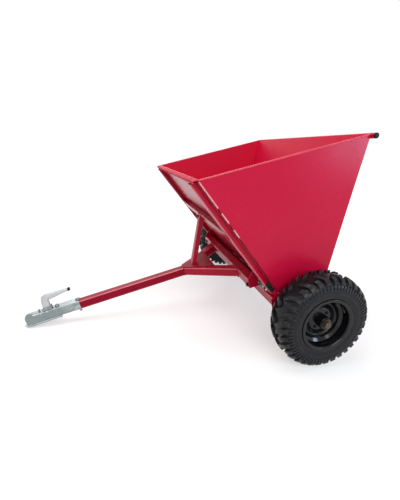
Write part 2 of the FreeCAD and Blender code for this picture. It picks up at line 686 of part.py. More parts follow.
nutReach = S["nut_width"] / math.sqrt(3)
for name, side in SIDES:
    turn(newBody(name + "_tyre"), tyreOutline(side))
    wheelRim = newBody(name + "_wheel_rim")
    turn(wheelRim, rimOutline(side))
    turn(wheelRim, discOutline(side))
    discBack = discFace - discThick
    flangeY = discBack - S["hub_flange_thick"]
    barrel = S["hub_dia"] / 2
    flangeRadius = S["hub_flange_dia"] / 2
    outline = [(hubInner, RUNNING), (hubOuter, RUNNING), (hubOuter, barrel), (discBack, barrel),
               (discBack, flangeRadius), (flangeY, flangeRadius), (flangeY, barrel),
               (hubInner, barrel)]
    turn(newBody(name + "_hub"), [(y * side, r) for y, r in outline])
    nut = newBody(name + "_shaft_nut")
    low, high = bothSides(nutStart, nutStart + S["nut_height"], side)
    sketch = newSketch(nut, "XZ_Plane", -(low + high) / 2)
    turns = [2 * math.pi * corner / SIX for corner in range(SIX)]
    drawOutline(sketch, [(nutReach * math.cos(a), nutReach * math.sin(a)) for a in turns])
    extrude(nut, "Pad", sketch, high - low)
    drill(nut, "XZ_Plane", -(low + high) / 2, [(0, 0, RUNNING)], S["nut_height"] * 2)

# ---------------------------------------------------------------- coupling

# side outline of the handle: distance behind its foot's front edge, share of its rise
HANDLE_SIDE = [(0, 0), (6, 0.53), (10, 0.89), (21, 1), (145, 1), (159, 0.975), (158, 0.76),
               (140, 0.82), (90, 0.69), (45, 0.61)]
LIP_THICK = 9.0
HEAD_WALL = 4.0
DOME_LIFT = 30.0
NECK_CUT = 10.0
NECK_INSET = 1.0
NOSE = S["drawbar_tip"] + S["coupling_reach"]
COUPLING_LIP = S["drawbar_height"] - S["coupling_drop"]


def couplingShape():
    """Pressed-steel ball coupling: a sleeve open below, a turned-out lip and a domed head."""
    v = {name: size.value for name, size in S.items()}
    outer = v["beam_size"] + 2 * (v["sleeve_fit"] + v["sleeve_wall"])
    clear = v["beam_size"] + 2 * v["sleeve_fit"]
    tip = v["drawbar_tip"]
    back = tip - v["sleeve_length"]
    top = v["drawbar_height"] + outer / 2
    headX = NOSE.value - v["head_dia"] / 2
    lip = COUPLING_LIP.value
    side = lip + v["sleeve_open"]
    radius = v["head_dia"] / 2 - HEAD_WALL
    neckX = tip + HEAD_WALL

    def rect(x, halfY, low, high):
        corners = [Vector(x, -halfY, low), Vector(x, halfY, low), Vector(x, halfY, high),
                   Vector(x, -halfY, high)]
        return Part.makePolygon(corners + [corners[0]])

    sleeve = Part.makeBox(neckX - back, outer, top - side, Vector(back, -outer / 2, side))
    neckHigh = lip + DOME_LIFT
    neckLow = Part.makeLoft([
        rect(neckX, outer / 2, side, neckHigh),
        rect(headX, radius - NECK_INSET, side, neckHigh - NECK_INSET)], True, True)
    neckTop = Part.makeLoft([rect(neckX, outer / 2, side, top),
                             rect(headX, radius - NECK_CUT, side, top)], True, True)
    lipPlate = Part.makeBox(v["lip_length"] - v["head_dia"] / 2, v["head_dia"] - HEAD_WALL,
                            LIP_THICK, Vector(NOSE.value - v["lip_length"],
                                              HEAD_WALL / 2 - v["head_dia"] / 2, lip))
    rim = Part.makeCylinder(v["head_dia"] / 2, LIP_THICK, Vector(headX, 0, lip))
    drum = Part.makeCylinder(radius, DOME_LIFT, Vector(headX, 0, lip))
    dome = Part.makeSphere(radius, Vector(headX, 0, lip + DOME_LIFT), Vector(0, 0, 1), 0, 90)
    body = sleeve.fuse([neckLow, neckTop, lipPlate, rim, drum, dome])
    socket = Part.makeCylinder(v["socket_dia"] / 2, v["socket_depth"] + 1, Vector(headX, 0, lip - 1))
    cup = Part.makeSphere(v["socket_dia"] / 2, Vector(headX, 0, lip + v["socket_depth"]))
    room = Part.makeBox(tip - back + BEAM.value, clear, clear,
                        Vector(back - BEAM.value, -clear / 2, v["drawbar_height"] - clear / 2))
    return body.cut([socket, cup, room]).removeSplitter()


coupling = doc.addObject("Part::Feature", "coupling_body")
coupling.Label = "coupling_body"
coupling.Shape = couplingShape()
pieces.append(coupling)

sleeveTop = BEAM_TOP + S["sleeve_fit"] + S["sleeve_wall"]
footFront = NOSE - S["handle_front"]
handleSide = [(footFront - behind, sleeveTop + S["handle_rise"] * share)
              for behind, share in HANDLE_SIDE] + [(footFront - S["handle_foot"], sleeveTop)]
sidePlate("coupling_handle", handleSide, -S["handle_width"] / 2, S["handle_width"] / 2)

# ---------------------------------------------------------------- parking and writing

def parkedPitch():
    """Nose-down angle, in degrees, at which the coupling's lip reaches the floor."""
    noseX = NOSE.value
    noseZ = COUPLING_LIP.value
    radius = S["tyre_dia"].value / 2
    return math.degrees(math.asin(radius / math.hypot(noseX, noseZ)) + math.atan2(noseZ, noseX))


doc.recompute()
for item in doc.Objects:
    if "Invalid" in item.State or "Error" in item.State:
        raise RuntimeError("%s is %s" % (item.Name, item.State))

tip = FreeCAD.Rotation(Vector(0, 1, 0), parkedPitch())
box = FreeCAD.BoundBox()
for piece in pieces:
    piece.Placement = FreeCAD.Placement(Vector(0, 0, 0), tip)
doc.recompute()
for piece in pieces:
    box.add(piece.Shape.optimalBoundingBox(False))
# the origin is on the floor, in the middle of the machine's box
shift = Vector(-(box.XMin + box.XMax) / 2, -(box.YMin + box.YMax) / 2, S["tyre_dia"].value / 2)
for piece in pieces:
    piece.Placement = FreeCAD.Placement(shift, tip)
doc.recompute()

for piece in pieces:
    if piece.Shape.isNull() or not piece.Shape.isValid():
        raise RuntimeError("%s has no valid shape" % piece.Label)

os.makedirs("parts", exist_ok=True)
for piece in pieces:
    piece.Shape.exportStep("parts/%s.step" % piece.Label)
print("pitch %.3f degrees, shift %.3f %.3f %.3f" % (parkedPitch(), shift.x, shift.y, shift.z))
print("box", [round(side, 1) for side in (box.XLength, box.YLength, box.ZLength)])
print(len(pieces), "pieces")
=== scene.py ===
import json
import math
import bmesh
import bpy
from mathutils import Euler, Matrix, Vector


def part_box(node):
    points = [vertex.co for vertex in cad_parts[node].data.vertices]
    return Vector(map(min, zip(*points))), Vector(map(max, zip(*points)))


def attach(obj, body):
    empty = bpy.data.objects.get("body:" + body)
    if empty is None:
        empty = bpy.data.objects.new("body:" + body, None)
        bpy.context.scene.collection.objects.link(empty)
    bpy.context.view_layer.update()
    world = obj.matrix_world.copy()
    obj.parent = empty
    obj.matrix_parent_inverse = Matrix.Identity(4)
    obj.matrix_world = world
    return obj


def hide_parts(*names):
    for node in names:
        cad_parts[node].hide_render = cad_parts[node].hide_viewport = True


# A towed sand spreader, parked nose down on its coupling.
# Pieces are drawn as if hitched level: wheel shaft on the Y axis, +X forward, +Y left, +Z up.
# toParked then tips each one into place.

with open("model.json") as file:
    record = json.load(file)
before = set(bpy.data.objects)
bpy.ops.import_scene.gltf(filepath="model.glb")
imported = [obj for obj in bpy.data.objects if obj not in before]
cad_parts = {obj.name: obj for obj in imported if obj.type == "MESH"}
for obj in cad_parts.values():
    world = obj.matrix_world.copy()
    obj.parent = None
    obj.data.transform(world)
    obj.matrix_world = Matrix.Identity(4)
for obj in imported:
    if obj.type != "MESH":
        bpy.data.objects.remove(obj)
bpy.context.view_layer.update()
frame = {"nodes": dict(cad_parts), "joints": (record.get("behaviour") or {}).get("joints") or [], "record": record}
scene = bpy.context.scene
print("frame loaded:", len(frame["nodes"]), "nodes")

shaftLow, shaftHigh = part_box("wheel_shaft")
socketAxis = frame["record"]["mounts"][0]["axis"]       # points down out of the coupling
noseDown = math.atan2(-socketAxis[0], -socketAxis[2])
toParked = Matrix.Translation((shaftLow + shaftHigh) / 2) @ Matrix.Rotation(noseDown, 4, "Y")
toLevel = toParked.inverted()
fullTurn = 2 * math.pi
outboard = {"left": 1, "right": -1}
mm = 0.001


def levelCorners(node):
    return [toLevel @ vertex.co for vertex in frame["nodes"][node].data.vertices]


def levelBox(node):
    # a node's lowest and highest corners in the level frame
    corners = levelCorners(node)
    low = Vector([min(corner[axis] for corner in corners) for axis in range(3)])
    high = Vector([max(corner[axis] for corner in corners) for axis in range(3)])
    return low, high


def acrossEnds(node, out):
    # a side node's inboard and outboard y
    low, high = levelBox(node)
    return (low.y, high.y) if out > 0 else (high.y, low.y)


# camera

cameraSettings = {
    "place": (0.2267, 1.6010, 0.8722),
    "turn": (71.975, -0.300, 164.511),      # degrees
    "lens": 22.30,
    "shift": (-0.016, 0.0),
}


def addCamera(settings):
    data = bpy.data.cameras.new("viewCamera")
    data.sensor_width = 36
    data.lens = settings["lens"]
    data.shift_x, data.shift_y = settings["shift"]
    camera = bpy.data.objects.new("viewCamera", data)
    camera.location = settings["place"]
    camera.rotation_euler = Euler([math.radians(angle) for angle in settings["turn"]])
    scene.collection.objects.link(camera)
    scene.camera = camera


addCamera(cameraSettings)

# shared effects


def newGroup(name, inputs, outputs):
    tree = bpy.data.node_groups.new(name, "ShaderNodeTree")
    for label, value in inputs.items():
        socket = tree.interface.new_socket(label, in_out="INPUT", socket_type="NodeSocketFloat")
        socket.default_value = value
    for label in outputs:
        tree.interface.new_socket(label, in_out="OUTPUT", socket_type="NodeSocketFloat")
    return tree, tree.nodes.new("NodeGroupInput"), tree.nodes.new("NodeGroupOutput")


def addNoise(tree, source, scale, detail=2.0, roughness=0.5):
    noise = tree.nodes.new("ShaderNodeTexNoise")
    noise.inputs["Detail"].default_value = detail
    noise.inputs["Roughness"].default_value = roughness
    tree.links.new(source, noise.inputs["Vector"])
    tree.links.new(scale, noise.inputs["Scale"])
    return noise.outputs["Fac"]


def addMath(tree, operation, first, second):
    node = tree.nodes.new("ShaderNodeMath")
    node.operation = operation
    for socket, value in zip(node.inputs, (first, second)):
        if isinstance(value, (int, float)):
            socket.default_value = value
        else:
            tree.links.new(value, socket)
    return node.outputs[0]


def addRange(tree, value, fromLow, fromHigh, toLow, toHigh):
    node = tree.nodes.new("ShaderNodeMapRange")
    for label, number in (("From Min", fromLow), ("From Max", fromHigh),
                          ("To Min", toLow), ("To Max", toHigh)):
        node.inputs[label].default_value = number
    tree.links.new(value, node.inputs["Value"])
    return node.outputs["Result"]


def makeSkinGroup():
    # a fine grain and a slow cloud over the surface
    tree, ins, outs = newGroup("surfaceSkin", {"Grain Scale": 600, "Cloud Scale": 6},
                               ("Grain", "Cloud"))
    place = tree.nodes.new("ShaderNodeTexCoord").outputs["Object"]
    grain = addNoise(tree, place, ins.outputs["Grain Scale"], detail=3)
    cloud = addNoise(tree, place, ins.outputs["Cloud Scale"], detail=4, roughness=0.6)
    tree.links.new(grain, outs.inputs["Grain"])
    tree.links.new(addRange(tree, cloud, 0.3, 0.7, 0, 1), outs.inputs["Cloud"])
    return tree


def makeDustGroup():
    # dust lies on what faces up, in patches
    tree, ins, outs = newGroup("settledDust", {"Patch Scale": 14, "Amount": 0.3}, ("Dust",))
    place = tree.nodes.new("ShaderNodeTexCoord").outputs["Object"]
    normal = tree.nodes.new("ShaderNodeNewGeometry").outputs["Normal"]
    split = tree.nodes.new("ShaderNodeSeparateXYZ")
    tree.links.new(normal, split.inputs[0])
    upward = addRange(tree, split.outputs["Z"], -0.6, 0.9, 0.15, 1)
    patch = addNoise(tree, place, ins.outputs["Patch Scale"], detail=6, roughness=0.65)
    patches = addRange(tree, patch, 0.35, 0.75, 0, 1)
    amount = addMath(tree, "MULTIPLY", addMath(tree, "MULTIPLY", upward, patches),
                     ins.outputs["Amount"])
    tree.links.new(amount, outs.inputs["Dust"])
    return tree


def makeEdgeGlintGroup():
    # painted highlight: pointed corners and edges lightened in patches, as glints
    tree, ins, outs = newGroup("rubbedEdge", {"Patch Scale": 40, "Amount": 0.5}, ("Rub",))
    place = tree.nodes.new("ShaderNodeTexCoord").outputs["Object"]
    pointed = tree.nodes.new("ShaderNodeNewGeometry").outputs["Pointiness"]
    edge = addRange(tree, pointed, 0.52, 0.6, 0, 1)
    patch = addNoise(tree, place, ins.outputs["Patch Scale"], detail=5, roughness=0.7)
    rub = addMath(tree, "MULTIPLY", edge, addRange(tree, patch, 0.4, 0.65, 0, 1))
    tree.links.new(addMath(tree, "MULTIPLY", rub, ins.outputs["Amount"]), outs.inputs["Rub"])
    return tree


hopperMiddle = (0, 0, 0.45)       # in the level frame


def makeHopperGroup():
    # 1 on the faces that look towards the middle of the hopper, which take a lighter red as painted light and a
    # rougher scoured surface
    tree, _, outs = newGroup("hopperInside", {}, ("Inside",))
    place = tree.nodes.new("ShaderNodeTexCoord").outputs["Object"]
    normal = tree.nodes.new("ShaderNodeNewGeometry").outputs["Normal"]
    inward = tree.nodes.new("ShaderNodeVectorMath")
    inward.operation = "SUBTRACT"
    inward.inputs[0].default_value = toParked @ Vector(hopperMiddle)
    tree.links.new(place, inward.inputs[1])
    facing = tree.nodes.new("ShaderNodeVectorMath")
    facing.operation = "DOT_PRODUCT"
    tree.links.new(inward.outputs[0], facing.inputs[0])
    tree.links.new(normal, facing.inputs[1])
    inside = addMath(tree, "GREATER_THAN", facing.outputs["Value"], 0.0)
    tree.links.new(inside, outs.inputs["Inside"])
    return tree


skinGroup = makeSkinGroup()
hopperGroup = makeHopperGroup()
dustGroup = makeDustGroup()
edgeGlintGroup = makeEdgeGlintGroup()

# finishes

patchScale = {"dust": 14, "rub": 60}
bumpDepth = 0.5 * mm


def placeGroup(tree, group, **values):
    node = tree.nodes.new("ShaderNodeGroup")
    node.node_tree = group
    for label, value in values.items():
        node.inputs[label.replace("_", " ")].default_value = value
    return node.outputs


def mixColour(tree, mask, first, second):
    node = tree.nodes.new("ShaderNodeMix")
    node.data_type = "RGBA"
    for socket, value in ((node.inputs[6], first), (node.inputs[7], second)):
        if isinstance(value, tuple):
            socket.default_value = (*value, 1)
        else:
            tree.links.new(value, socket)
    tree.links.new(mask, node.inputs[0])
    return node.outputs[2]


def newFinish(name, settings):
    # colour that drifts between two shades, roughness that drifts with it, and a grain
    finish = bpy.data.materials.new(name)
    finish.use_nodes = True
    tree = finish.node_tree
    shader = tree.nodes["Principled BSDF"]
    shader.inputs["Metallic"].default_value = settings.get("metal", 0.0)
    shader.inputs["Specular IOR Level"].default_value = settings.get("specular", 0.5)
    skin = placeGroup(tree, skinGroup, Grain_Scale=settings["grainScale"],
                      Cloud_Scale=settings["cloudScale"])
    colour = mixColour(tree, skin["Cloud"], settings["colour"], settings["shade"])
    if "dust" in settings:
        dust = placeGroup(tree, dustGroup, Patch_Scale=patchScale["dust"],
                          Amount=settings["dust"])
        colour = mixColour(tree, dust["Dust"], colour, settings["dustColour"])
    # pointed edges lighten towards a pale colour, a painted highlight
    if "rub" in settings:
        rub = placeGroup(tree, edgeGlintGroup, Patch_Scale=patchScale["rub"],
                         Amount=settings["rub"])
        colour = mixColour(tree, rub["Rub"], colour, settings["rubColour"])
    low, high = settings["roughness"]
    rough = addRange(tree, skin["Cloud"], 0, 1, low, high)
    # faces inside the hopper take a lighter red, painted light, and more roughness from scour
    if "insideLitColour" in settings:
        inside = placeGroup(tree, hopperGroup)["Inside"]
        colour = mixColour(tree, inside, colour, settings["insideLitColour"])
        scour = addMath(tree, "MULTIPLY", inside, settings["insideScour"])
        rough = addMath(tree, "ADD", rough, scour)
    tree.links.new(colour, shader.inputs["Base Color"])
    tree.links.new(rough, shader.inputs["Roughness"])
    bump = tree.nodes.new("ShaderNodeBump")
    bump.inputs["Strength"].default_value = settings["bump"]
    bump.inputs["Distance"].default_value = bumpDepth
    tree.links.new(skin["Grain"], bump.inputs["Height"])
    tree.links.new(bump.outputs["Normal"], shader.inputs["Normal"])
    return finish


redCoat = {
    "colour": (0.54, 0.0045, 0.040), "shade": (0.50, 0.004, 0.034), "specular": 0.18,
    "roughness": (0.25, 0.33), "grainScale": 420, "cloudScale": 5, "bump": 0.03,
}
finishSettings = {
    "redPaint": redCoat,
    # painted light: the faces inside the hopper take a lighter red, standing in for the stronger light there;
    # their scour roughens them
    "hopperPaint": {**redCoat, "insideLitColour": (0.63, 0.004, 0.045), "insideScour": 0.22},
    # painted shade: a darker red for the drawbar and gusset, standing in for the weaker light on them; its higher
    # roughness is the paint's own
    "shadedRed": {
        "colour": (0.34, 0.004, 0.026), "shade": (0.29, 0.0035, 0.022), "specular": 0.11,
        "roughness": (0.34, 0.44), "grainScale": 420, "cloudScale": 9, "bump": 0.04},
    # painted highlight: a pale red for the eased corners of the square tubes, standing in for the light they catch
    "cornerHighlightRed": {
        "colour": (0.74, 0.19, 0.22), "shade": (0.66, 0.11, 0.15), "specular": 0.5,
        "roughness": (0.16, 0.26), "grainScale": 420, "cloudScale": 12, "bump": 0.03},
    "rimPaint": {
        "colour": (0.60, 0.010, 0.05), "shade": (0.52, 0.008, 0.04), "specular": 0.1,
        "roughness": (0.5, 0.6), "grainScale": 420, "cloudScale": 12, "bump": 0.03},
    "blackGloss": {
        "colour": (0.004, 0.004, 0.005), "shade": (0.006, 0.006, 0.007),
        "roughness": (0.09, 0.17), "specular": 0.28,
        "grainScale": 500, "cloudScale": 20, "bump": 0.03,
        "dust": 0.015, "dustColour": (0.20, 0.19, 0.18)},
    "tyreRubber": {
        "colour": (0.006, 0.0065, 0.009), "shade": (0.009, 0.0095, 0.012), "specular": 0.18,
        "roughness": (0.26, 0.40), "grainScale": 700, "cloudScale": 16, "bump": 0.12,
        "dust": 0.04, "dustColour": (0.10, 0.09, 0.08),
        # the pale edge colour is a painted highlight on the lugs' edges
        "rub": 0.35, "rubColour": (0.11, 0.10, 0.095)},
    "lipRubber": {
        "colour": (0.018, 0.018, 0.019), "shade": (0.026, 0.026, 0.027),
        "roughness": (0.6, 0.75), "grainScale": 400, "cloudScale": 20, "bump": 0.2},
    "blackPlastic": {
        "colour": (0.004, 0.0035, 0.0035), "shade": (0.007, 0.006, 0.006), "specular": 0.14,
        "roughness": (0.38, 0.5), "grainScale": 900, "cloudScale": 30, "bump": 0.15},
    "zincPlate": {
        "colour": (0.27, 0.315, 0.31), "shade": (0.23, 0.275, 0.275), "metal": 0.6,
        "roughness": (0.16, 0.25), "grainScale": 260, "cloudScale": 45, "bump": 0.03,
        # the pale edge colour is a painted highlight along the coupling's edges
        "rub": 0.7, "rubColour": (0.72, 0.76, 0.76)},
    # painted highlight: a pale zinc for the coupling's top corner and the bead's top, standing in for the light
    # they catch
    "rubbedZinc": {
        "colour": (0.82, 0.85, 0.85), "shade": (0.72, 0.75, 0.75), "metal": 0.3,
        "roughness": (0.2, 0.3), "grainScale": 260, "cloudScale": 45, "bump": 0.08},
    "handleZinc": {
        "colour": (0.60, 0.61, 0.62), "shade": (0.48, 0.50, 0.50), "metal": 0.6,
        "roughness": (0.36, 0.5), "grainScale": 200, "cloudScale": 50, "bump": 0.25},
    "brightSteel": {
        "colour": (0.60, 0.60, 0.59), "shade": (0.46, 0.46, 0.46), "metal": 1.0,
        "roughness": (0.22, 0.36), "grainScale": 500, "cloudScale": 60, "bump": 0.1},
    "dullBronze": {
        "colour": (0.14, 0.105, 0.065), "shade": (0.05, 0.04, 0.028), "metal": 0.8,
        "roughness": (0.16, 0.34), "grainScale": 400, "cloudScale": 120, "bump": 0.2},
    # painted highlight: a lighter red for the hems along the panel tops, standing in for the light they catch
    "rubbedRed": {
        "colour": (0.66, 0.035, 0.075), "shade": (0.60, 0.02, 0.055), "specular": 0.4,
        "roughness": (0.2, 0.3), "grainScale": 420, "cloudScale": 12, "bump": 0.03},
    # painted highlight: a pale pink for the strips down each panel's front edge, standing in for bright glints
    # there
    "edgeGlintPink": {
        "colour": (0.78, 0.34, 0.34), "shade": (0.70, 0.24, 0.26), "specular": 0.5,
        "roughness": (0.2, 0.32), "grainScale": 300, "cloudScale": 60, "bump": 0.1},
    "castHousing": {
        "colour": (0.055, 0.055, 0.06), "shade": (0.09, 0.09, 0.095),
        "roughness": (0.45, 0.62), "grainScale": 300, "cloudScale": 40, "bump": 0.5},
    "darkField": {
        "colour": (0.045, 0.045, 0.045), "shade": (0.07, 0.068, 0.066),
        "roughness": (0.3, 0.45), "grainScale": 500, "cloudScale": 90, "bump": 0.1},
    "barePlate": {
        "colour": (0.34, 0.34, 0.34), "shade": (0.24, 0.24, 0.245), "metal": 0.5,
        "roughness": (0.4, 0.6), "grainScale": 350, "cloudScale": 35, "bump": 0.15},
}
finishes = {name: newFinish(name, settings) for name, settings in finishSettings.items()}
slotFinish = {
    "red_paint": "redPaint", "black_gloss_paint": "blackGloss", "tyre_rubber": "tyreRubber",
    "lip_rubber": "lipRubber", "black_plastic": "blackPlastic", "zinc_plate": "zincPlate",
    "bright_steel": "brightSteel", "cast_housing": "castHousing", "bare_plate": "barePlate",
}
print("finishes made:", len(finishes))

# making and joining shapes

smoothBelow = math.radians(32)      # a sharper fold keeps a hard edge
flatShare = 12                      # a face this many times its neighbour stays flat
flatAbove = math.radians(4)         # where they fold by more than this


def camel(words):
    first, *rest = words.split("_")
    return first + "".join(word.capitalize() for word in rest)


def newShape():
    return bmesh.new()


def placed(shape, place):
    bmesh.ops.transform(shape, matrix=place, verts=shape.verts)
    return shape


def joinTo(shape, part, place=Matrix()):
    placed(part, place)
    carrier = bpy.data.meshes.new("carrier")
    part.to_mesh(carrier)
    part.free()
    shape.from_mesh(carrier)
    bpy.data.meshes.remove(carrier)


def blendsSmoothly(edge):
    if len(edge.link_faces) != 2:
        return True
    fold = edge.calc_face_angle(0)
    small, large = sorted(face.calc_area() for face in edge.link_faces)
    flat = fold > flatAbove and large > small * flatShare
    return fold < smoothBelow and not flat


def addPiece(name, shape, body, slotName, finish=None, hides=(), second=None):
    # takes a shape in the level frame; second is a finish for the faces marked for it
    placed(shape, toParked)
    for face in shape.faces:
        face.smooth = True
    for edge in shape.edges:
        edge.smooth = blendsSmoothly(edge)
    mesh = bpy.data.meshes.new(name)
    shape.to_mesh(mesh)
    shape.free()
    mesh.materials.append(finishes[finish or slotFinish[slotName]])
    if second:
        mesh.materials.append(finishes[second])
    piece = bpy.data.objects.new(name, mesh)
    scene.collection.objects.link(piece)
    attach(piece, body)
    if hides:
        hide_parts(*hides)


def bevelEdges(shape, edges, width, segments=2):
    made = bmesh.ops.bevel(shape, geom=list(edges), offset=width, offset_type="OFFSET",
                           segments=segments, profile=0.5, affect="EDGES", material=-1,
                           clamp_overlap=True)
    return made["faces"]


def cleanCopy(node):
    # a merged copy of a node in the level frame, its flat faces whole again
    shape = newShape()
    shape.from_mesh(frame["nodes"][node].data)
    placed(shape, toLevel)
    bmesh.ops.remove_doubles(shape, verts=shape.verts, dist=0.01 * mm)
    bmesh.ops.dissolve_limit(shape, angle_limit=math.radians(0.5), verts=shape.verts,
                             edges=shape.edges)
    return shape


def foldedEdges(shape, angle=30, longest=None):
    folded = [edge for edge in shape.edges
              if len(edge.link_faces) == 2 and edge.calc_face_angle(0) > math.radians(angle)
              and edge.is_convex]
    if longest:
        folded = [edge for edge in folded if edge.calc_length() > longest]
    return folded


def softened(node, rounding, segments=2, angle=30):
    # a node's own shape with its folds eased
    shape = cleanCopy(node)
    bevelEdges(shape, foldedEdges(shape, angle), rounding, segments)
    return shape


def block(low, high, rounding):
    part = newShape()
    low, high = Vector(low), Vector(high)
    bmesh.ops.create_cube(part, size=1)
    bmesh.ops.scale(part, vec=high - low, verts=part.verts)
    bmesh.ops.translate(part, vec=(low + high) / 2, verts=part.verts)
    bevelEdges(part, part.edges, rounding)
    return part


def inMetres(points):
    return [tuple(value * mm for value in point) for point in points]


def turned(outline, steps, rounding=0.0, closed=True):
    # turns an outline of (radius, height) about Z; its round corners are then eased
    part = newShape()
    points = [part.verts.new((radius, 0, height)) for radius, height in outline]
    pairs = list(zip(points, points[1:])) + ([(points[-1], points[0])] if closed else [])
    lines = [part.edges.new(pair) for pair in pairs]
    bmesh.ops.spin(part, geom=points + lines, cent=(0, 0, 0), axis=(0, 0, 1), steps=steps,
                   angle=fullTurn, use_merge=True)
    bmesh.ops.remove_doubles(part, verts=part.verts, dist=0.01 * mm)
    bmesh.ops.recalc_face_normals(part, faces=part.faces)
    if rounding:
        rings = [edge for edge in part.edges
                 if len(edge.link_faces) == 2 and edge.calc_face_angle(0) > math.radians(20)
                 and abs(edge.verts[0].co.z - edge.verts[1].co.z) < 0.001 * mm]
        bevelEdges(part, rings, rounding)
    return part


def aimed(spot, direction):
    # a placement whose Z points along a direction
    return Matrix.Translation(spot) @ Vector(direction).to_track_quat("Z", "Y").to_matrix().to_4x4()


def roundBar(start, end, radius, steps=24, rounding=0.6 * mm):
    start, end = Vector(start), Vector(end)
    length = (end - start).length
    part = turned([(0, 0), (radius, 0), (radius, length), (0, length)], steps, rounding,
                  closed=False)
    return placed(part, aimed(start, end - start))


# fasteners

boltShape = {
    # shares of the head's width across its flats
    "washerRadius": 0.70,
    "washerThick": 0.10,
    "washerRounding": 0.03,
    "headThick": 0.40,
    "chamfer": 0.10,
    "studRadius": 0.30,
    "studRounding": 0.06,
}


def hexagon(flats, height, chamfer):
    part = newShape()
    radius = flats / math.sqrt(3)
    bmesh.ops.create_cone(part, cap_ends=True, segments=6, radius1=radius, radius2=radius,
                          depth=height, matrix=Matrix.Translation((0, 0, height / 2)))
    top = [edge for edge in part.edges if all(v.co.z > height / 2 for v in edge.verts)]
    bevelEdges(part, top, chamfer, 2)
    return part


def addBolt(shape, spot, direction, flats, stud=0.0):
    # washer, hexagon head and, where the bolt shows its thread, the rounded end of a stud
    place = aimed(spot, direction)
    thick = flats * boltShape["washerThick"]
    radius = flats * boltShape["washerRadius"]
    washer = turned([(0, 0), (radius, 0), (radius, thick), (0, thick)], 24,
                    flats * boltShape["washerRounding"], closed=False)
    joinTo(shape, washer, place)
    head = hexagon(flats, flats * boltShape["headThick"], flats * boltShape["chamfer"])
    joinTo(shape, head, place @ Matrix.Translation((0, 0, thick)))
    if stud:
        reach = thick + flats * boltShape["headThick"] + stud
        radius = flats * boltShape["studRadius"]
        bar = turned([(0, thick), (radius, thick), (radius, reach), (0, reach)], 16,
                     flats * boltShape["studRounding"], closed=False)
        joinTo(shape, bar, place)


# welds

weldBead = {
    "size": 2.6 * mm,          # radius of the bead
    "pitch": 3.0 * mm,         # from one ripple to the next
    "stitch": 42 * mm,
}


def addWeld(shape, start, end, size=None):
    # a run of overlapping ripples
    start, end = Vector(start), Vector(end)
    size = size or weldBead["size"]
    run = end - start
    ripples = max(2, round(run.length / weldBead["pitch"]))
    place = Matrix.Diagonal((size, size, weldBead["pitch"] * 0.95, 1))
    bead = newShape()
    bmesh.ops.create_uvsphere(bead, u_segments=8, v_segments=4, radius=1,
                              matrix=aimed(start, run) @ place)
    bmesh.ops.spin(bead, geom=bead.verts[:] + bead.edges[:] + bead.faces[:], cent=start,
                   axis=run.normalized(), dvec=run / ripples, angle=0, steps=ripples,
                   use_duplicate=True)
    joinTo(shape, bead)


def addStitches(shape, start, end, count, size=None):
    # short welds spaced evenly between two ends
    start, end = Vector(start), Vector(end)
    run = end - start
    half = run.normalized() * weldBead["stitch"] / 2
    for index in range(count):
        middle = start + run * ((index + 0.5) / count)
        addWeld(shape, middle - half, middle + half, size)


# hopper

sheetRounding = 0.8 * mm
rimParts = {
    "flangeRounding": 1.4 * mm,
    "tubeSteps": 40,
    "plugSteps": 32,
    "plugDome": 2.5 * mm,
    "rounding": 0.8 * mm,
}


def softenSheets():
    for node in ("left_side_panel", "right_side_panel", "front_wall", "rear_wall"):
        addPiece(camel(node), softened(node, sheetRounding), "frame", "red_paint",
                 "hopperPaint", hides=(node,))


def makeRim():
    flange = softened("front_rim_flange", rimParts["flangeRounding"], 3)
    addPiece("frontRimFlange", flange, "frame", "red_paint", "rimPaint",
             hides=("front_rim_flange",))
    low, high = levelBox("rear_rim_tube")
    middle = (low + high) / 2
    radius = (high.z - low.z) / 2
    tube = roundBar((middle.x, low.y, middle.z), (middle.x, high.y, middle.z), radius,
                    rimParts["tubeSteps"], rimParts["rounding"])
    addPiece("rearRimTube", tube, "frame", "red_paint", hides=("rear_rim_tube",))
    for side, out in outboard.items():
        node = side + "_tube_plug"
        inner, outer = acrossEnds(node, out)
        length = abs(outer - inner)
        dome = rimParts["plugDome"]
        plug = turned([(0, 0), (radius, 0), (radius, length - dome), (radius - dome, length),
                       (0, length)], rimParts["plugSteps"], rimParts["rounding"], closed=False)
        placed(plug, aimed((middle.x, inner, middle.z), (0, out, 0)))
        addPiece(side + "TubePlug", plug, "frame", "black_plastic", hides=(node,))


softenSheets()
makeRim()
print("hopper made")

# front frame

tubeRounding = {"radius": 4.5 * mm, "shortest": 60 * mm, "segments": 4}
squareTubes = ("axle_beam", "crossbeam", "drawbar_tube", "left_drawbar_arm",
               "right_drawbar_arm", "upper_cross_member", "centre_post",
               "left_front_rail", "right_front_rail")
# these parts take the darker red of painted shade
shadedParts = ("drawbar_tube", "fork_gusset")
plates = ("fork_gusset", "left_shaft_bracket", "right_shaft_bracket", "left_end_bracket",
          "right_end_bracket")
plateRounding = 1.0 * mm
frontRail = {"node": 22 * mm, "depth": 30 * mm}
settingPlate = {
    "rounding": 0.8 * mm,
    "border": 5 * mm,            # round a dark blank field
    "fieldSunk": 1 * mm,
    "fieldProud": 0.5 * mm,
    "fieldRounding": 0.3 * mm,
}


def deepenRail(shape):
    # the outer face of a front rail moves out, square to the hopper's front wall
    out = max(shape.faces, key=lambda face: face.calc_area() * max(0, face.normal.x)).normal
    reach = max(vert.co.dot(out) for vert in shape.verts)
    outer = [vert for vert in shape.verts if vert.co.dot(out) > reach - frontRail["node"] / 2]
    bmesh.ops.translate(shape, vec=out * (frontRail["depth"] - frontRail["node"]), verts=outer)


# the drawbar and gusset take the darker red of painted shade
def frameFinish(node):
    return "shadedRed" if node in shadedParts else "redPaint"


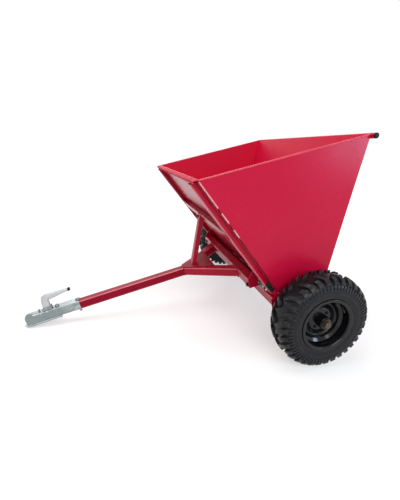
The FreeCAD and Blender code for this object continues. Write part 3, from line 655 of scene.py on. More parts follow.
def makeFrame():
    for node in squareTubes:
        shape = cleanCopy(node)
        if node.endswith("front_rail"):
            deepenRail(shape)
        # the eased long corners take the second finish, a pale red painted highlight
        longEdges = foldedEdges(shape, longest=tubeRounding["shortest"])
        for face in bevelEdges(shape, longEdges, tubeRounding["radius"],
                               tubeRounding["segments"]):
            face.material_index = 1
        name = "crossbeamTube" if node == "crossbeam" else camel(node)
        addPiece(name, shape, "frame", "red_paint", frameFinish(node), hides=(node,),
                 second="cornerHighlightRed")
    for node in plates:
        addPiece(camel(node), softened(node, plateRounding), "frame", "red_paint",
                 frameFinish(node), hides=(node,))


def makeSettingPlate():
    addPiece("settingPlate", softened("setting_plate", settingPlate["rounding"]), "frame",
             "bare_plate", hides=("setting_plate",))
    low, high = levelBox("setting_plate")
    border = settingPlate["border"]
    field = block((high.x - settingPlate["fieldSunk"], low.y + border, low.z + border),
                  (high.x + settingPlate["fieldProud"], high.y - border, high.z - border),
                  settingPlate["fieldRounding"])
    addPiece("settingPlateField", field, "frame", "bare_plate", "darkField")


makeFrame()
makeSettingPlate()
print("front frame made")

# welds of the hopper and its frame

panelCorners = levelCorners("left_side_panel")
rimHeight = max(corner.z for corner in panelCorners)
panelFoot = min(corner.z for corner in panelCorners)


def panelEnd(height, front):
    # x of the side panel's front or rear corner at its top or foot
    level = [corner.x for corner in panelCorners if abs(corner.z - height) < 1 * mm]
    return max(level) if front else min(level)


def wallSlope(front=True):
    return (panelEnd(rimHeight, front) - panelEnd(panelFoot, front)) / (rimHeight - panelFoot)


def wallPoint(height, across, out=0.0, front=True):
    # a point on a wall's outer face, or on a plane that lies out from it
    slope = wallSlope(front)
    away = out * math.hypot(1, slope) * (1 if front else -1)
    return Vector((panelEnd(rimHeight, front) - (rimHeight - height) * slope + away, across,
                   height))


def endsNear(node, axis, value, other):
    # the range that a node's corners have on one axis where another axis has a given value
    spots = [corner[other] for corner in levelCorners(node)
             if abs(corner[axis] - value) < 1 * mm]
    return min(spots), max(spots)


hopperWeld = {
    "inset": 40 * mm,            # from the end of a seam
    "sheet": 3 * mm,
    "tubeRise": 2 * mm,
    "stitches": {"rail": 5, "panel": 6, "rim": 9},
    "size": {"panel": 1.4 * mm, "flange": 2 * mm, "tube": 2.4 * mm},
}


def weldHopper():
    beads = newShape()
    axleTop = levelBox("axle_beam")[1].z
    inset, sheet = hopperWeld["inset"], hopperWeld["sheet"]
    stitches, size = hopperWeld["stitches"], hopperWeld["size"]
    for side, out in outboard.items():
        outer = acrossEnds(side + "_side_panel", out)[1]
        inner = outer - sheet * out
        railLow, railHigh = levelBox(side + "_front_rail")
        for across in (railLow.y, railHigh.y):
            addStitches(beads, wallPoint(axleTop + inset * 2, across),
                        wallPoint(railHigh.z - inset, across), stitches["rail"])
        addStitches(beads, wallPoint(axleTop + inset, outer), wallPoint(rimHeight - inset, outer),
                    stitches["panel"], size["panel"])
        for front in (True, False):
            addStitches(beads, wallPoint(inset, inner, -sheet, front),
                        wallPoint(rimHeight - inset, inner, -sheet, front), stitches["panel"])
    half = levelBox("front_wall")[1].y - inset
    flangeLow, flangeHigh = levelBox("front_rim_flange")
    tubeLow, tubeHigh = levelBox("rear_rim_tube")
    for along, height, bead in (
            (flangeLow.x, flangeHigh.z - sheet, size["flange"]),
            (tubeHigh.x - sheet, tubeLow.z + hopperWeld["tubeRise"], size["tube"])):
        addStitches(beads, (along, -half, height), (along, half, height), stitches["rim"], bead)
    addPiece("hopperWelds", beads, "frame", "red_paint")


hemShape = {
    "radius": 3.7 * mm,          # round hem along the top of each side panel
    "steps": 20,
    "rounding": 1.2 * mm,
    "drop": 0.1 * mm,
    "ends": (3 * mm, 1 * mm),    # short of the panel's rear and front corners
}
glintStripShape = {
    # pale strips down the panel's front edge, painted highlights, each from and to a height
    "runs": ((543 * mm, 655 * mm), (475 * mm, 522 * mm), (408 * mm, 447 * mm)),
    "radius": 3.2 * mm,
    "steps": 16,
    "rounding": 2 * mm,
    "inset": 1 * mm,
}


def addHems():
    hems, glintStrips = newShape(), newShape()
    radius = hemShape["radius"]
    rear, front = hemShape["ends"]
    inset = glintStripShape["inset"]
    for side, out in outboard.items():
        outer = acrossEnds(side + "_side_panel", out)[1]
        height = rimHeight - radius - hemShape["drop"]
        joinTo(hems, roundBar((panelEnd(rimHeight, False) + rear, outer, height),
                              (panelEnd(rimHeight, True) - front, outer, height), radius,
                              hemShape["steps"], hemShape["rounding"]))
        for run in glintStripShape["runs"]:
            start, end = (wallPoint(level, outer - inset * out, inset) for level in run)
            joinTo(glintStrips, roundBar(start, end, glintStripShape["radius"], glintStripShape["steps"],
                                   glintStripShape["rounding"]))
    # the hems take a lighter red and the strips a pale pink, both painted highlights
    addPiece("panelHems", hems, "frame", "red_paint", "rubbedRed")
    addPiece("panelEdgeGlints", glintStrips, "frame", "red_paint", "edgeGlintPink")


frameWeld = {
    "bracketInset": 6 * mm,
    "tieInset": 12 * mm,
    "gussetInset": 4 * mm,
    "gussetSize": 2.2 * mm,
    "gussetShare": 0.97,         # of the gusset's half width
    "stitches": {"crossbeam": 6, "axle": 9},
}


def weldFrame():
    beads = newShape()
    crossLow, crossHigh = levelBox("crossbeam")
    axleLow, axleHigh = levelBox("axle_beam")
    drawHigh = levelBox("drawbar_tube")[1]
    gussetLow, gussetHigh = levelBox("fork_gusset")
    tieLow, tieHigh = levelBox("upper_cross_member")
    for side, out in outboard.items():
        arm = side + "_drawbar_arm"
        armLow, armHigh = levelBox(arm)
        near, far = endsNear(arm, 0, armLow.x, 1)
        for height in (armLow.z, armHigh.z):
            addWeld(beads, (armLow.x, near, height), (armLow.x, far, height))
        for along, across in ((armLow.x, near), (armLow.x, far), (armHigh.x, drawHigh.y * out)):
            addWeld(beads, (along, across, armLow.z), (along, across, armHigh.z))
        inset = frameWeld["bracketInset"]
        inner, outer = acrossEnds(side + "_end_bracket", out)
        for low, high, across in ((crossLow, crossHigh, inner), (axleLow, axleHigh, outer)):
            addWeld(beads, (low.x + inset, across, high.z), (high.x - inset, across, high.z))
        inset = frameWeld["tieInset"]
        addWeld(beads, wallPoint(tieLow.z + inset, tieHigh.y * out, frontRail["depth"]),
                wallPoint(tieHigh.z - inset, tieHigh.y * out, frontRail["depth"]))
        inset = frameWeld["gussetInset"]
        addWeld(beads, (gussetLow.x + inset, gussetHigh.y * frameWeld["gussetShare"] * out,
                        gussetLow.z),
                (gussetHigh.x - inset, drawHigh.y * out, gussetLow.z), frameWeld["gussetSize"])
    stitches = frameWeld["stitches"]
    addStitches(beads, crossLow, (crossLow.x, crossHigh.y, crossLow.z), stitches["crossbeam"])
    addStitches(beads, (axleLow.x, axleLow.y, axleHigh.z), (axleLow.x, axleHigh.y, axleHigh.z),
                stitches["axle"])
    postLow, postHigh = levelBox("centre_post")
    back, ahead = endsNear("centre_post", 2, postLow.z, 0)
    headLow = min(corner.z for corner in levelCorners("centre_post") if corner.z > postLow.z + 0.1)
    for across in (postLow.y, postHigh.y):
        addWeld(beads, (back, across, postLow.z), (ahead, across, postLow.z))
        addWeld(beads, wallPoint(headLow, across, tieOut), wallPoint(postHigh.z, across, tieOut))
    for along in (back, ahead):
        addWeld(beads, (along, postLow.y, postLow.z), (along, postHigh.y, postLow.z))
    addPiece("frameWelds", beads, "frame", "red_paint")


tieCorners = levelCorners("upper_cross_member")
tieOut = max((corner.x - wallPoint(corner.z, 0).x) for corner in tieCorners)
tieOut /= math.hypot(1, wallSlope())
weldHopper()
addHems()
weldFrame()
print("welds made")

# bolts of the frame

frameBolts = {
    "bracketFlats": 17 * mm,
    "bracketFront": ((43 * mm, 70 * mm), (72 * mm, 34 * mm)),   # behind its front, and height
    "bracketRear": 16 * mm,      # ahead of its back, at the shaft's height
    "bracketFoot": (30 * mm, 16 * mm),      # ahead of its back, above its foot
    "beamFlats": 17 * mm,
    "beamInset": 11 * mm,
    "beamDrop": 8 * mm,
    "railFlats": 13 * mm,
    "railHeight": 116 * mm,
    "postFlats": 13 * mm,
    "postDrop": 15 * mm,         # below the top of the post's front face
    "postStud": 6 * mm,
    "screwFlats": 7 * mm,
    "screwInset": 6 * mm,
}


def addFrameBolts():
    bright, dark, screws = newShape(), newShape(), newShape()
    crossLow, crossHigh = levelBox("crossbeam")
    middle = (crossLow.z + crossHigh.z) / 2
    for side, out in outboard.items():
        node = side + "_shaft_bracket"
        low, high = levelBox(node)
        face = acrossEnds(node, out)[1]
        ahead, above = frameBolts["bracketFoot"]
        spots = [(high.x - behind, height) for behind, height in frameBolts["bracketFront"]]
        spots += [(low.x + frameBolts["bracketRear"], 0), (low.x + ahead, low.z + above)]
        for along, height in spots:
            addBolt(bright, (along, face, height), (0, out, 0), frameBolts["bracketFlats"])
        addBolt(dark, (crossHigh.x, (crossHigh.y - frameBolts["beamInset"]) * out,
                       middle - frameBolts["beamDrop"]), (1, 0, 0), frameBolts["beamFlats"])
        railLow, railHigh = levelBox(side + "_front_rail")
        addBolt(bright, wallPoint(frameBolts["railHeight"], (railLow.y + railHigh.y) / 2,
                                  frontRail["depth"]), (1, 0, -wallSlope()),
                frameBolts["railFlats"])
    postCorners = levelCorners("centre_post")
    top = max(postCorners, key=lambda corner: corner.z)
    foot = max(postCorners, key=lambda corner: corner.x)
    down = Vector((foot.x - top.x, 0, foot.z - top.z)).normalized()
    addBolt(dark, Vector((top.x, 0, top.z)) + down * frameBolts["postDrop"],
            (-down.z, 0, down.x), frameBolts["postFlats"], frameBolts["postStud"])
    low, high = levelBox("setting_plate")
    inset = frameBolts["screwInset"]
    for across in (low.y + inset, high.y - inset):
        addBolt(screws, (high.x, across, (low.z + high.z) / 2), (1, 0, 0),
                frameBolts["screwFlats"])
    addPiece("bracketBolts", bright, "frame", "bright_steel")
    addPiece("crossbeamBolts", dark, "frame", "black_gloss_paint")
    addPiece("plateScrews", screws, "frame", "bright_steel")


addFrameBolts()

# bearings

bearingShape = {
    "flangeThick": 4 * mm,
    "neckInset": 12 * mm,        # of the neck from the flange's rim
    "boltInset": 7 * mm,
    "bolts": 3,
    "firstBolt": 0.25,           # round from the front, in spaces between bolts
    "flats": 8 * mm,
    "clearance": 0.3 * mm,
    "rounding": 0.8 * mm,
    # radius and height in millimetres
    "nipple": ((0, 0), (2.6, 0), (2.6, 4), (1.6, 5), (2.2, 7), (1.2, 9), (0, 9)),
}


def outwards(node, out):
    # from a node's inboard end on the shaft's line, its Z outwards
    return aimed((0, acrossEnds(node, out)[0], 0), (0, out, 0))


def makeBearings():
    thick = bearingShape["flangeThick"]
    bore = levelBox("wheel_shaft")[1].z + bearingShape["clearance"]
    for side, out in outboard.items():
        node = side + "_bearing"
        low, high = levelBox(node)
        radius = (high.z - low.z) / 2
        length = high.y - low.y
        neck = radius - bearingShape["neckInset"]
        housing = newShape()
        body = turned([(bore, 0), (radius, 0), (radius, thick), (neck + 3 * mm, thick + 1 * mm),
                       (neck, length - 2 * mm), (neck - 3 * mm, length), (bore + 7 * mm, length),
                       (bore + 5 * mm, length - 3 * mm), (bore, length - 3 * mm)], 48,
                      bearingShape["rounding"])
        joinTo(housing, body)
        for count in range(bearingShape["bolts"]):
            angle = fullTurn * (count + bearingShape["firstBolt"]) / bearingShape["bolts"]
            reach = radius - bearingShape["boltInset"]
            addBolt(housing, (reach * math.cos(angle), reach * math.sin(angle), thick), (0, 0, 1),
                    bearingShape["flats"])
        nipple = turned(inMetres(bearingShape["nipple"]), 12, closed=False)
        joinTo(housing, nipple, aimed((0, neck - 1 * mm, length * 0.6), (0, 1, 0)))
        placed(housing, outwards(node, out))
        addPiece(side + "Bearing", housing, "frame", "cast_housing", hides=(node,))


makeBearings()
print("bolts and bearings made")

# shaft, roller, gate and lip

shaftShape = {"chamfer": 1.5 * mm, "steps": 40}
softNodes = {
    # body, slot and rounding of what keeps its own shape
    "feed_roller": ("drive_axle", "red_paint", 1.2 * mm),
    "outlet_gate": ("outlet_gate_body", "red_paint", 0.7 * mm),
    "rear_lip": ("frame", "lip_rubber", 1.2 * mm),
}


def makeRunningGear():
    low, high = levelBox("wheel_shaft")
    radius = high.z
    ease = shaftShape["chamfer"]
    shaft = turned([(0, low.y), (radius - ease, low.y), (radius, low.y + ease),
                    (radius, high.y - ease), (radius - ease, high.y), (0, high.y)],
                   shaftShape["steps"], closed=False)
    placed(shaft, Matrix.Rotation(-math.pi / 2, 4, "X"))
    addPiece("wheelShaft", shaft, "drive_axle", "bright_steel", "dullBronze",
             hides=("wheel_shaft",))
    for node, (body, slotName, rounding) in softNodes.items():
        addPiece(camel(node), softened(node, rounding, angle=40), body, slotName, hides=(node,))


gateLeverShape = {
    "cornerRounding": 7 * mm,
    "thickest": 6 * mm,          # edges shorter than this are its corners
    "rounding": 1.4 * mm,
    "nutFlats": 16 * mm,
}
gripShape = {
    "grooves": 5,
    "deep": 1.2 * mm,
    # start and end of the grooves as shares of the grip's length
    "grooved": (0.2, 0.8),
    "floor": (1.2 * mm, 2.8 * mm),
    "groove": 4 * mm,
    "steps": 32,
}


def makeGateLever():
    lever = cleanCopy("gate_lever")
    corners = [edge for edge in foldedEdges(lever)
               if edge.calc_length() < gateLeverShape["thickest"]]
    bevelEdges(lever, corners, gateLeverShape["cornerRounding"], 6)
    bevelEdges(lever, foldedEdges(lever), gateLeverShape["rounding"])
    addPiece("gateLever", lever, "outlet_gate_body", "red_paint", hides=("gate_lever",))
    low, high = levelBox("lever_knob")
    radius = (high.y - low.y) / 2
    middle = (low + high) / 2
    swing = next(joint for joint in frame["joints"] if joint["child"] == "outlet_gate_body")
    pivot = toLevel @ Vector(swing["pos_m"])
    axis = (middle - Vector((pivot.x, middle.y, pivot.z))).normalized()
    tilt = math.atan2(axis.x, axis.z)
    length = ((high.z - low.z) - 2 * radius * math.sin(tilt)) / math.cos(tilt)
    first, last = gripShape["grooved"]
    floor = radius - gripShape["deep"]
    outline = [(0, 0), (radius - 2 * mm, 0), (radius, 2 * mm)]
    for count in range(gripShape["grooves"]):
        start = length * (first + (last - first) * count / gripShape["grooves"])
        outline += [(radius, start)]
        outline += [(floor, start + along) for along in gripShape["floor"]]
        outline += [(radius, start + gripShape["groove"])]
    outline += [(radius, length - 6 * mm), (radius * 0.86, length - 2.2 * mm),
                (radius * 0.5, length - 0.3 * mm), (0, length)]
    grip = placed(turned(outline, gripShape["steps"], closed=False),
                  aimed(middle - axis * length / 2, axis))
    addPiece("leverKnob", grip, "outlet_gate_body", "black_plastic", hides=("lever_knob",))
    nut = newShape()
    addBolt(nut, (pivot.x, levelBox("gate_lever")[1].y, pivot.z), (0, 1, 0),
            gateLeverShape["nutFlats"])
    addPiece("gateNut", nut, "outlet_gate_body", "bright_steel")


makeRunningGear()
makeGateLever()
print("shaft, roller and gate made")

# tyres

tyreShape = {
    "casingHalf": 66.5 * mm,
    "lugHalf": 69.8 * mm,
    "widest": 150 * mm,         # radius at which the tyre is widest
    "treadDepth": 13 * mm,
    "sideDrop": 55 * mm,
    "crownCurve": 2.8,          # power of the curve over the tread, and down the side
    "sideCurve": 3.5,
    "wall": 10 * mm,
    "beadAngle": 52,            # degrees below the widest part
    "steps": 102,
    "taper": 0.80,              # width of a lug at the tread over its width at the casing
    "slant": 0.126,             # of a lug's line round the tyre
    "bends": (0.55, 0.1),       # more slant inside and outside the shoulder
    "shoulderShare": 0.62,      # of the lug's half width
    "easedAbove": 140 * mm,     # radius from which a lug's edges are eased
    "ribs": ((121 * mm, 63.6 * mm), (141 * mm, 66.3 * mm)),     # radius, and half width there
    "ribHalf": (2.6 * mm, 1.4 * mm),        # at a rib's foot and top
    "ribHeight": (-1.6 * mm, 1.0 * mm),
    "outlineSteps": (36, 14),   # over the outside and the inside
}
# lugs and ridges lie between two angles up from the widest part
treadLug = {"count": 34, "wide": 23 * mm, "ends": (87, 66), "foot": 25, "sunk": 3 * mm,
            "rounding": 1.6 * mm}
sideRidge = {"count": 68, "wide": 6.5 * mm, "top": 50, "foot": 4, "proud": 2.8 * mm,
             "rounding": 0.8 * mm}


def sectionPoint(angle, half, crown):
    # (distance from the tyre's middle plane, radius) on the tyre's section
    shape = tyreShape
    across, up = math.cos(angle), math.sin(angle)
    power = 2 / (shape["crownCurve"] if up > 0 else shape["sideCurve"])
    reach = (crown - shape["widest"]) if up > 0 else -shape["sideDrop"]
    side = math.copysign(abs(across) ** power, across) * half
    return side, shape["widest"] + abs(up) ** power * reach


def casingOutline(half, crown, points):
    start = -math.radians(tyreShape["beadAngle"])
    sweep = math.pi - 2 * start
    spots = [sectionPoint(start + sweep * k / points, half, crown) for k in range(points + 1)]
    return [(radius, across) for across, radius in spots]


def makeBar(outer, inner, wide, side, crown, rounding):
    # one lug or ridge between its outer and inner lines over the shoulder
    bar = newShape()
    spots = [bar.verts.new((radius, 0, across)) for across, radius in outer + inner[::-1]]
    face = bar.faces.new(spots)
    grown = bmesh.ops.extrude_face_region(bar, geom=[face])
    moved = [item for item in grown["geom"] if isinstance(item, bmesh.types.BMVert)]
    bmesh.ops.translate(bar, vec=(0, wide, 0), verts=moved)
    bmesh.ops.translate(bar, vec=(0, -wide / 2, 0), verts=bar.verts)
    shoulder = tyreShape["lugHalf"] * tyreShape["shoulderShare"]
    inBend, outBend = tyreShape["bends"]
    for vert in bar.verts:
        high = (vert.co.x - tyreShape["widest"]) / (crown - tyreShape["widest"])
        vert.co.y *= 1 - (1 - tyreShape["taper"]) * max(0.0, min(1.0, high))
        past = vert.co.z - shoulder
        bend = max(0.0, -past) * inBend + max(0.0, past) * outBend
        along = vert.co.y + side * (bend - vert.co.z * tyreShape["slant"])
        turn = along / vert.co.x                # laid round the tyre
        vert.co.x, vert.co.y = vert.co.x * math.cos(turn), vert.co.x * math.sin(turn)
    bmesh.ops.recalc_face_normals(bar, faces=bar.faces)
    proud = [edge for edge in bar.edges if edge.calc_face_angle(0) > math.radians(40)
             and min(v.co.x for v in edge.verts) > tyreShape["easedAbove"]]
    bevelEdges(bar, proud, rounding, 1)
    return bar


def sectionLine(high, low, half, crown, steps):
    return [sectionPoint(math.radians(high + (low - high) * k / steps), half, crown)
            for k in range(steps + 1)]


def makeLug(crown, side, end):
    deep = tyreShape["treadDepth"] + treadLug["sunk"]
    outer = sectionLine(end, treadLug["foot"], tyreShape["lugHalf"], crown, 8)
    inner = sectionLine(end, treadLug["foot"], tyreShape["lugHalf"] - deep * 0.5,
                        crown - deep, 8)
    return makeBar(outer, inner, treadLug["wide"], side, crown, treadLug["rounding"])


def makeRidge(crown, side):
    casing = crown - tyreShape["treadDepth"]
    proud = sideRidge["proud"]
    outer = sectionLine(sideRidge["top"], sideRidge["foot"], tyreShape["casingHalf"] + proud,
                        casing + proud, 6)
    inner = sectionLine(sideRidge["top"], sideRidge["foot"], tyreShape["casingHalf"] - proud,
                        casing - proud, 6)
    return makeBar(outer, inner, sideRidge["wide"], side, crown, sideRidge["rounding"])


def mirrored(shape, signs):
    bmesh.ops.scale(shape, vec=signs, verts=shape.verts)
    bmesh.ops.reverse_faces(shape, faces=shape.faces)
    return shape


def spreadRound(shape, part, count, first):
    placed(part, Matrix.Rotation(first, 4, "Z"))
    bmesh.ops.spin(part, geom=part.verts[:] + part.edges[:] + part.faces[:], cent=(0, 0, 0),
                   axis=(0, 0, 1), angle=fullTurn * (count - 1) / count, steps=count - 1,
                   use_duplicate=True)
    joinTo(shape, part)


def makeTyre(side, body):
    out = outboard[side]
    node = side + "_tyre"
    low, high = levelBox(node)
    crown = (high.x - low.x) / 2
    depth = tyreShape["treadDepth"]
    tyre = newShape()
    half, wall = tyreShape["casingHalf"], tyreShape["wall"]
    outerSteps, innerSteps = tyreShape["outlineSteps"]
    outside = casingOutline(half, crown - depth, outerSteps)
    inside = casingOutline(half - wall, crown - depth - wall, innerSteps)
    joinTo(tyre, turned(outside + inside[::-1], tyreShape["steps"]))
    footHalf, topHalf = tyreShape["ribHalf"]
    for radius, across in tyreShape["ribs"]:
        for face in (1, -1):
            foot, top = ((across + height) * face for height in tyreShape["ribHeight"])
            rib = [(radius - footHalf, foot), (radius + footHalf, foot),
                   (radius + topHalf, top), (radius - topHalf, top)]
            joinTo(tyre, turned(rib, tyreShape["steps"]))
    pitch = fullTurn / treadLug["count"]
    for face in (1, -1):
        long, short = (makeLug(crown, out, end) for end in treadLug["ends"])
        parts = ((long, treadLug["count"] // 2, pitch * (face > 0)),
                 (short, treadLug["count"] // 2, pitch * (face < 0)),
                 (makeRidge(crown, out), sideRidge["count"], pitch / 4))
        for part, count, first in parts:
            if face < 0:
                mirrored(part, (1, 1, -1))
            spreadRound(tyre, part, count, first)
    placed(tyre, aimedWheel(low, high, out))
    addPiece(side + "Tyre", tyre, body, "tyre_rubber", hides=(node,))


def aimedWheel(low, high, out):
    # wheel parts are turned about Z, outboard upwards
    middle = Vector((0, (low.y + high.y) / 2, 0))
    return Matrix.Translation(middle) @ Matrix.Rotation(-out * math.pi / 2, 4, "X")


# wheel rims and hubs

rimShape = {
    "sheet": 3 * mm,
    "discThick": 4 * mm,
    "lipRoll": 3 * mm,
    "studCircle": 38 * mm,
    "studs": 4,
    "firstStud": 0.4,
    "studFlats": 10 * mm,
    "studLength": 3 * mm,
    "seatDrop": 13.5 * mm,       # of the bead seat below the rim's edge
    "wellDrop": 16 * mm,         # and of the well below the seat
    "hubFace": 16 * mm,          # of the disc, outboard of the wheel's middle plane
    "bore": 28 * mm,
    "steps": 96,
    "rounding": 0.8 * mm,
}
valveShape = {
    "angle": 205,                # degrees round the wheel
    "outboard": 40 * mm,
    "sunk": 5 * mm,
    "lean": 0.45,
    "steps": 20,
    # radius and height in millimetres
    "outline": ((0, 0), (6, 0), (5, 6), (3.6, 9), (3.6, 24), (2.8, 25), (2.8, 29), (0, 30)),
}


def rimOutline(half, edge, seat):
    # the rolled rim sheet as a closed outline, outboard side upwards
    sheet = rimShape["sheet"]
    roll = rimShape["lipRoll"]
    well = seat - rimShape["wellDrop"]
    top = [(edge - roll, half), (edge - 0.8 * mm, half - 0.4 * mm), (edge, half - 2 * mm),
           (edge - 1 * mm, half - 4 * mm), (edge - 5 * mm, half - sheet - 1 * mm),
           (seat + 3 * mm, half - sheet - 0.4 * mm), (seat, half - sheet - 4 * mm),
           (seat - 1 * mm, 24 * mm), (well, 15 * mm), (well, -26 * mm), (seat - 1 * mm, -36 * mm),
           (seat, -half + sheet + 4 * mm), (seat + 3 * mm, -half + sheet + 0.4 * mm),
           (edge - 5 * mm, -half + sheet + 1 * mm), (edge, -half + 2 * mm), (edge - roll, -half)]
    under = [(seat - sheet, -half + 4 * mm), (seat - 1 * mm - sheet, -37 * mm),
             (well - sheet, -27 * mm), (well - sheet, 16 * mm), (seat - 1 * mm - sheet, 26 * mm),
             (seat - sheet + 0.4 * mm, half - 6 * mm), (seat + 1 * mm, half - 1.5 * mm)]
    return top + under


def discOutline(bore, face, well):
    thick = rimShape["discThick"]
    front = [(bore, face), (47 * mm, face), (52 * mm, face - 1.2 * mm), (60 * mm, face - 7 * mm),
             (66 * mm, face - 10.5 * mm), (71 * mm, face - 11.5 * mm), (75.5 * mm, face - 10 * mm),
             (79.5 * mm, face - 5 * mm), (well - 0.4 * mm, face + 4 * mm), (well, face + 5 * mm)]
    back = [(well, face - 6 * mm), (80 * mm, face - 11 * mm), (74 * mm, face - 10.5 * mm - thick),
            (66 * mm, face - 10.5 * mm - thick), (58 * mm, face - 7 * mm - thick),
            (50 * mm, face - thick), (bore, face - thick)]
    return front + back


def makeWheelRim(side, body):
    node = side + "_wheel_rim"
    low, high = levelBox(node)
    edge = (high.x - low.x) / 2
    half = (high.y - low.y) / 2
    seat = edge - rimShape["seatDrop"]
    well = seat - rimShape["wellDrop"] - rimShape["sheet"]
    hubFace = rimShape["hubFace"]
    rim, studs = newShape(), newShape()
    for outline in (rimOutline(half, edge, seat), discOutline(rimShape["bore"], hubFace, well)):
        joinTo(rim, turned(outline, rimShape["steps"], rimShape["rounding"]))
    place = aimedWheel(*levelBox(side + "_tyre"), outboard[side])
    addPiece(side + "WheelRim", placed(rim, place), body, "black_gloss_paint", hides=(node,))
    for count in range(rimShape["studs"]):
        angle = fullTurn * (count + rimShape["firstStud"]) / rimShape["studs"]
        spot = Vector((math.cos(angle), math.sin(angle), 0)) * rimShape["studCircle"]
        addBolt(studs, spot + Vector((0, 0, hubFace)), (0, 0, 1), rimShape["studFlats"],
                rimShape["studLength"])
    addPiece(side + "WheelStuds", placed(studs, place), body, "black_gloss_paint")
    angle = math.radians(valveShape["angle"])
    outward = Vector((math.cos(angle), math.sin(angle), 0))
    foot = outward * (seat - valveShape["sunk"]) + Vector((0, 0, valveShape["outboard"]))
    valve = placed(turned(inMetres(valveShape["outline"]), valveShape["steps"], closed=False),
                   aimed(foot, Vector((0, 0, 1)) - outward * valveShape["lean"]))
    addPiece(side + "Valve", placed(valve, place), body, "tyre_rubber", "lipRubber")


onShaft = 0.1 * mm              # clearance of what sits on the shaft
hubShape = {
    "barrel": 27 * mm,
    "flangeBehind": 39 * mm,     # the flange lies against the back of the disc
    "steps": 56,
}


def makeHub(side, body):
    node = side + "_hub"
    low, high = levelBox(node)
    radius = levelBox("wheel_shaft")[1].z + onShaft
    flange = (high.x - low.x) / 2
    barrel = hubShape["barrel"]
    length = high.y - low.y
    flangeEnd = length - hubShape["flangeBehind"]
    hub = turned([
        (radius, 0), (barrel - 1 * mm, 0), (barrel, 1 * mm), (barrel, flangeEnd - 16 * mm),
        (barrel + 5 * mm, flangeEnd - 8 * mm), (flange - 1 * mm, flangeEnd - 8 * mm),
        (flange, flangeEnd - 7 * mm), (flange, flangeEnd), (barrel, flangeEnd),
        (barrel, length - 9 * mm), (barrel - 1.5 * mm, length - 6 * mm),
        (barrel - 1.5 * mm, length - 1 * mm), (barrel - 2.5 * mm, length), (radius, length)],
        hubShape["steps"])
    placed(hub, outwards(node, outboard[side]))
    addPiece(side + "Hub", hub, body, "black_gloss_paint", hides=(node,))


nutShape = {
    "washerThick": 3 * mm,
    "washerRadius": 20 * mm,
    "washerRounding": 0.6 * mm,
    "flats": 30 * mm,
    "chamfer": 1.6 * mm,
    "hexagonShare": 0.52,        # of the nut's length
    "crown": 14.2 * mm,
    "turn": 35,                  # degrees
    # the split pin's shank and its two bent ends
    "pinDrop": 5 * mm,
    "pinReach": (-19 * mm, 17 * mm),
    "pinRadius": 1.7 * mm,
    "bentEnds": (-19 * mm, -15.5 * mm),
    "bentRadius": 1.3 * mm,
}


def makeShaftNut(side):
    node = side + "_shaft_nut"
    low, high = levelBox(node)
    radius = levelBox("wheel_shaft")[1].z + onShaft
    thick = nutShape["washerThick"]
    washer = nutShape["washerRadius"]
    length = high.y - low.y
    nut = newShape()
    joinTo(nut, turned([(radius, 0), (washer, 0), (washer, thick), (radius, thick)], 40,
                       nutShape["washerRounding"]))
    body = hexagon(min(high.z - low.z, nutShape["flats"]), length * nutShape["hexagonShare"],
                   nutShape["chamfer"])
    joinTo(nut, body, Matrix.Translation((0, 0, thick)))
    foot, crown = thick + length * 0.5, nutShape["crown"]
    joinTo(nut, turned([(radius, foot), (crown, foot), (crown, length - 3 * mm),
                        (crown - 0.7 * mm, length - 2 * mm), (radius, length - 2 * mm)], 36))
    height = length - nutShape["pinDrop"]
    start, end = nutShape["pinReach"]
    joinTo(nut, roundBar((start, 0, height), (end, 0, height), nutShape["pinRadius"], 12))
    for along in nutShape["bentEnds"]:
        joinTo(nut, roundBar((along, 0, height), (along + 1 * mm, 0, height - 9 * mm),
                             nutShape["bentRadius"], 10))
    turn = Matrix.Rotation(math.radians(nutShape["turn"]), 4, "Z")
    placed(nut, outwards(node, outboard[side]) @ turn)
    addPiece(side + "ShaftNut", nut, "drive_axle", "bright_steel", "dullBronze", hides=(node,))


for side, body in (("left", "drive_axle"), ("right", "right_wheel")):
    makeTyre(side, body)
    makeWheelRim(side, body)
    makeHub(side, body)
    makeShaftNut(side)
print("wheels made")

# coupling

couplingShape = {
    "sheet": 4 * mm,
    "sleeveWall": 4.3 * mm,      # with its clearance on the drawbar
    "sleeveCorner": 5 * mm,
    "lipThick": 7 * mm,
    "lipRoll": 6 * mm,
    "headRadius": 28 * mm,
    "beadRadius": 4.2 * mm,
    "lipStart": 185 * mm,        # behind the nose
    "lipLift": 9 * mm,
    "cornerSteps": 7,
    "beadSteps": 20,             # round the nose
    "rubbedCorner": (0.6, 0.88),     # the top corner's faces that take a painted highlight
    "rubbedFrom": 0.72,          # how far up a face of the bead points to take a painted highlight
}


def couplingSection(x, half, top, corner, foot, lip):
    # one half of the pressed section, from its lower edge to the middle of its top
    roll = couplingShape["lipRoll"] * lip
    thick = couplingShape["lipThick"]
    points = [(half + roll * 0.5, foot), (half + roll * 0.9, foot + thick * 0.15),
              (half + roll, foot + thick * 0.5), (half + roll * 0.85, foot + thick * 0.85),
              (half + roll * 0.12, foot + thick * 1.1), (half, foot + thick * 1.5)]
    steps = couplingShape["cornerSteps"]
    for count in range(steps + 1):
        angle = math.pi / 2 * count / steps
        points.append((half - corner + corner * math.cos(angle),
                       top - corner + corner * math.sin(angle)))
    points.append((0, top))
    return [Vector((x, across, height)) for across, height in points]


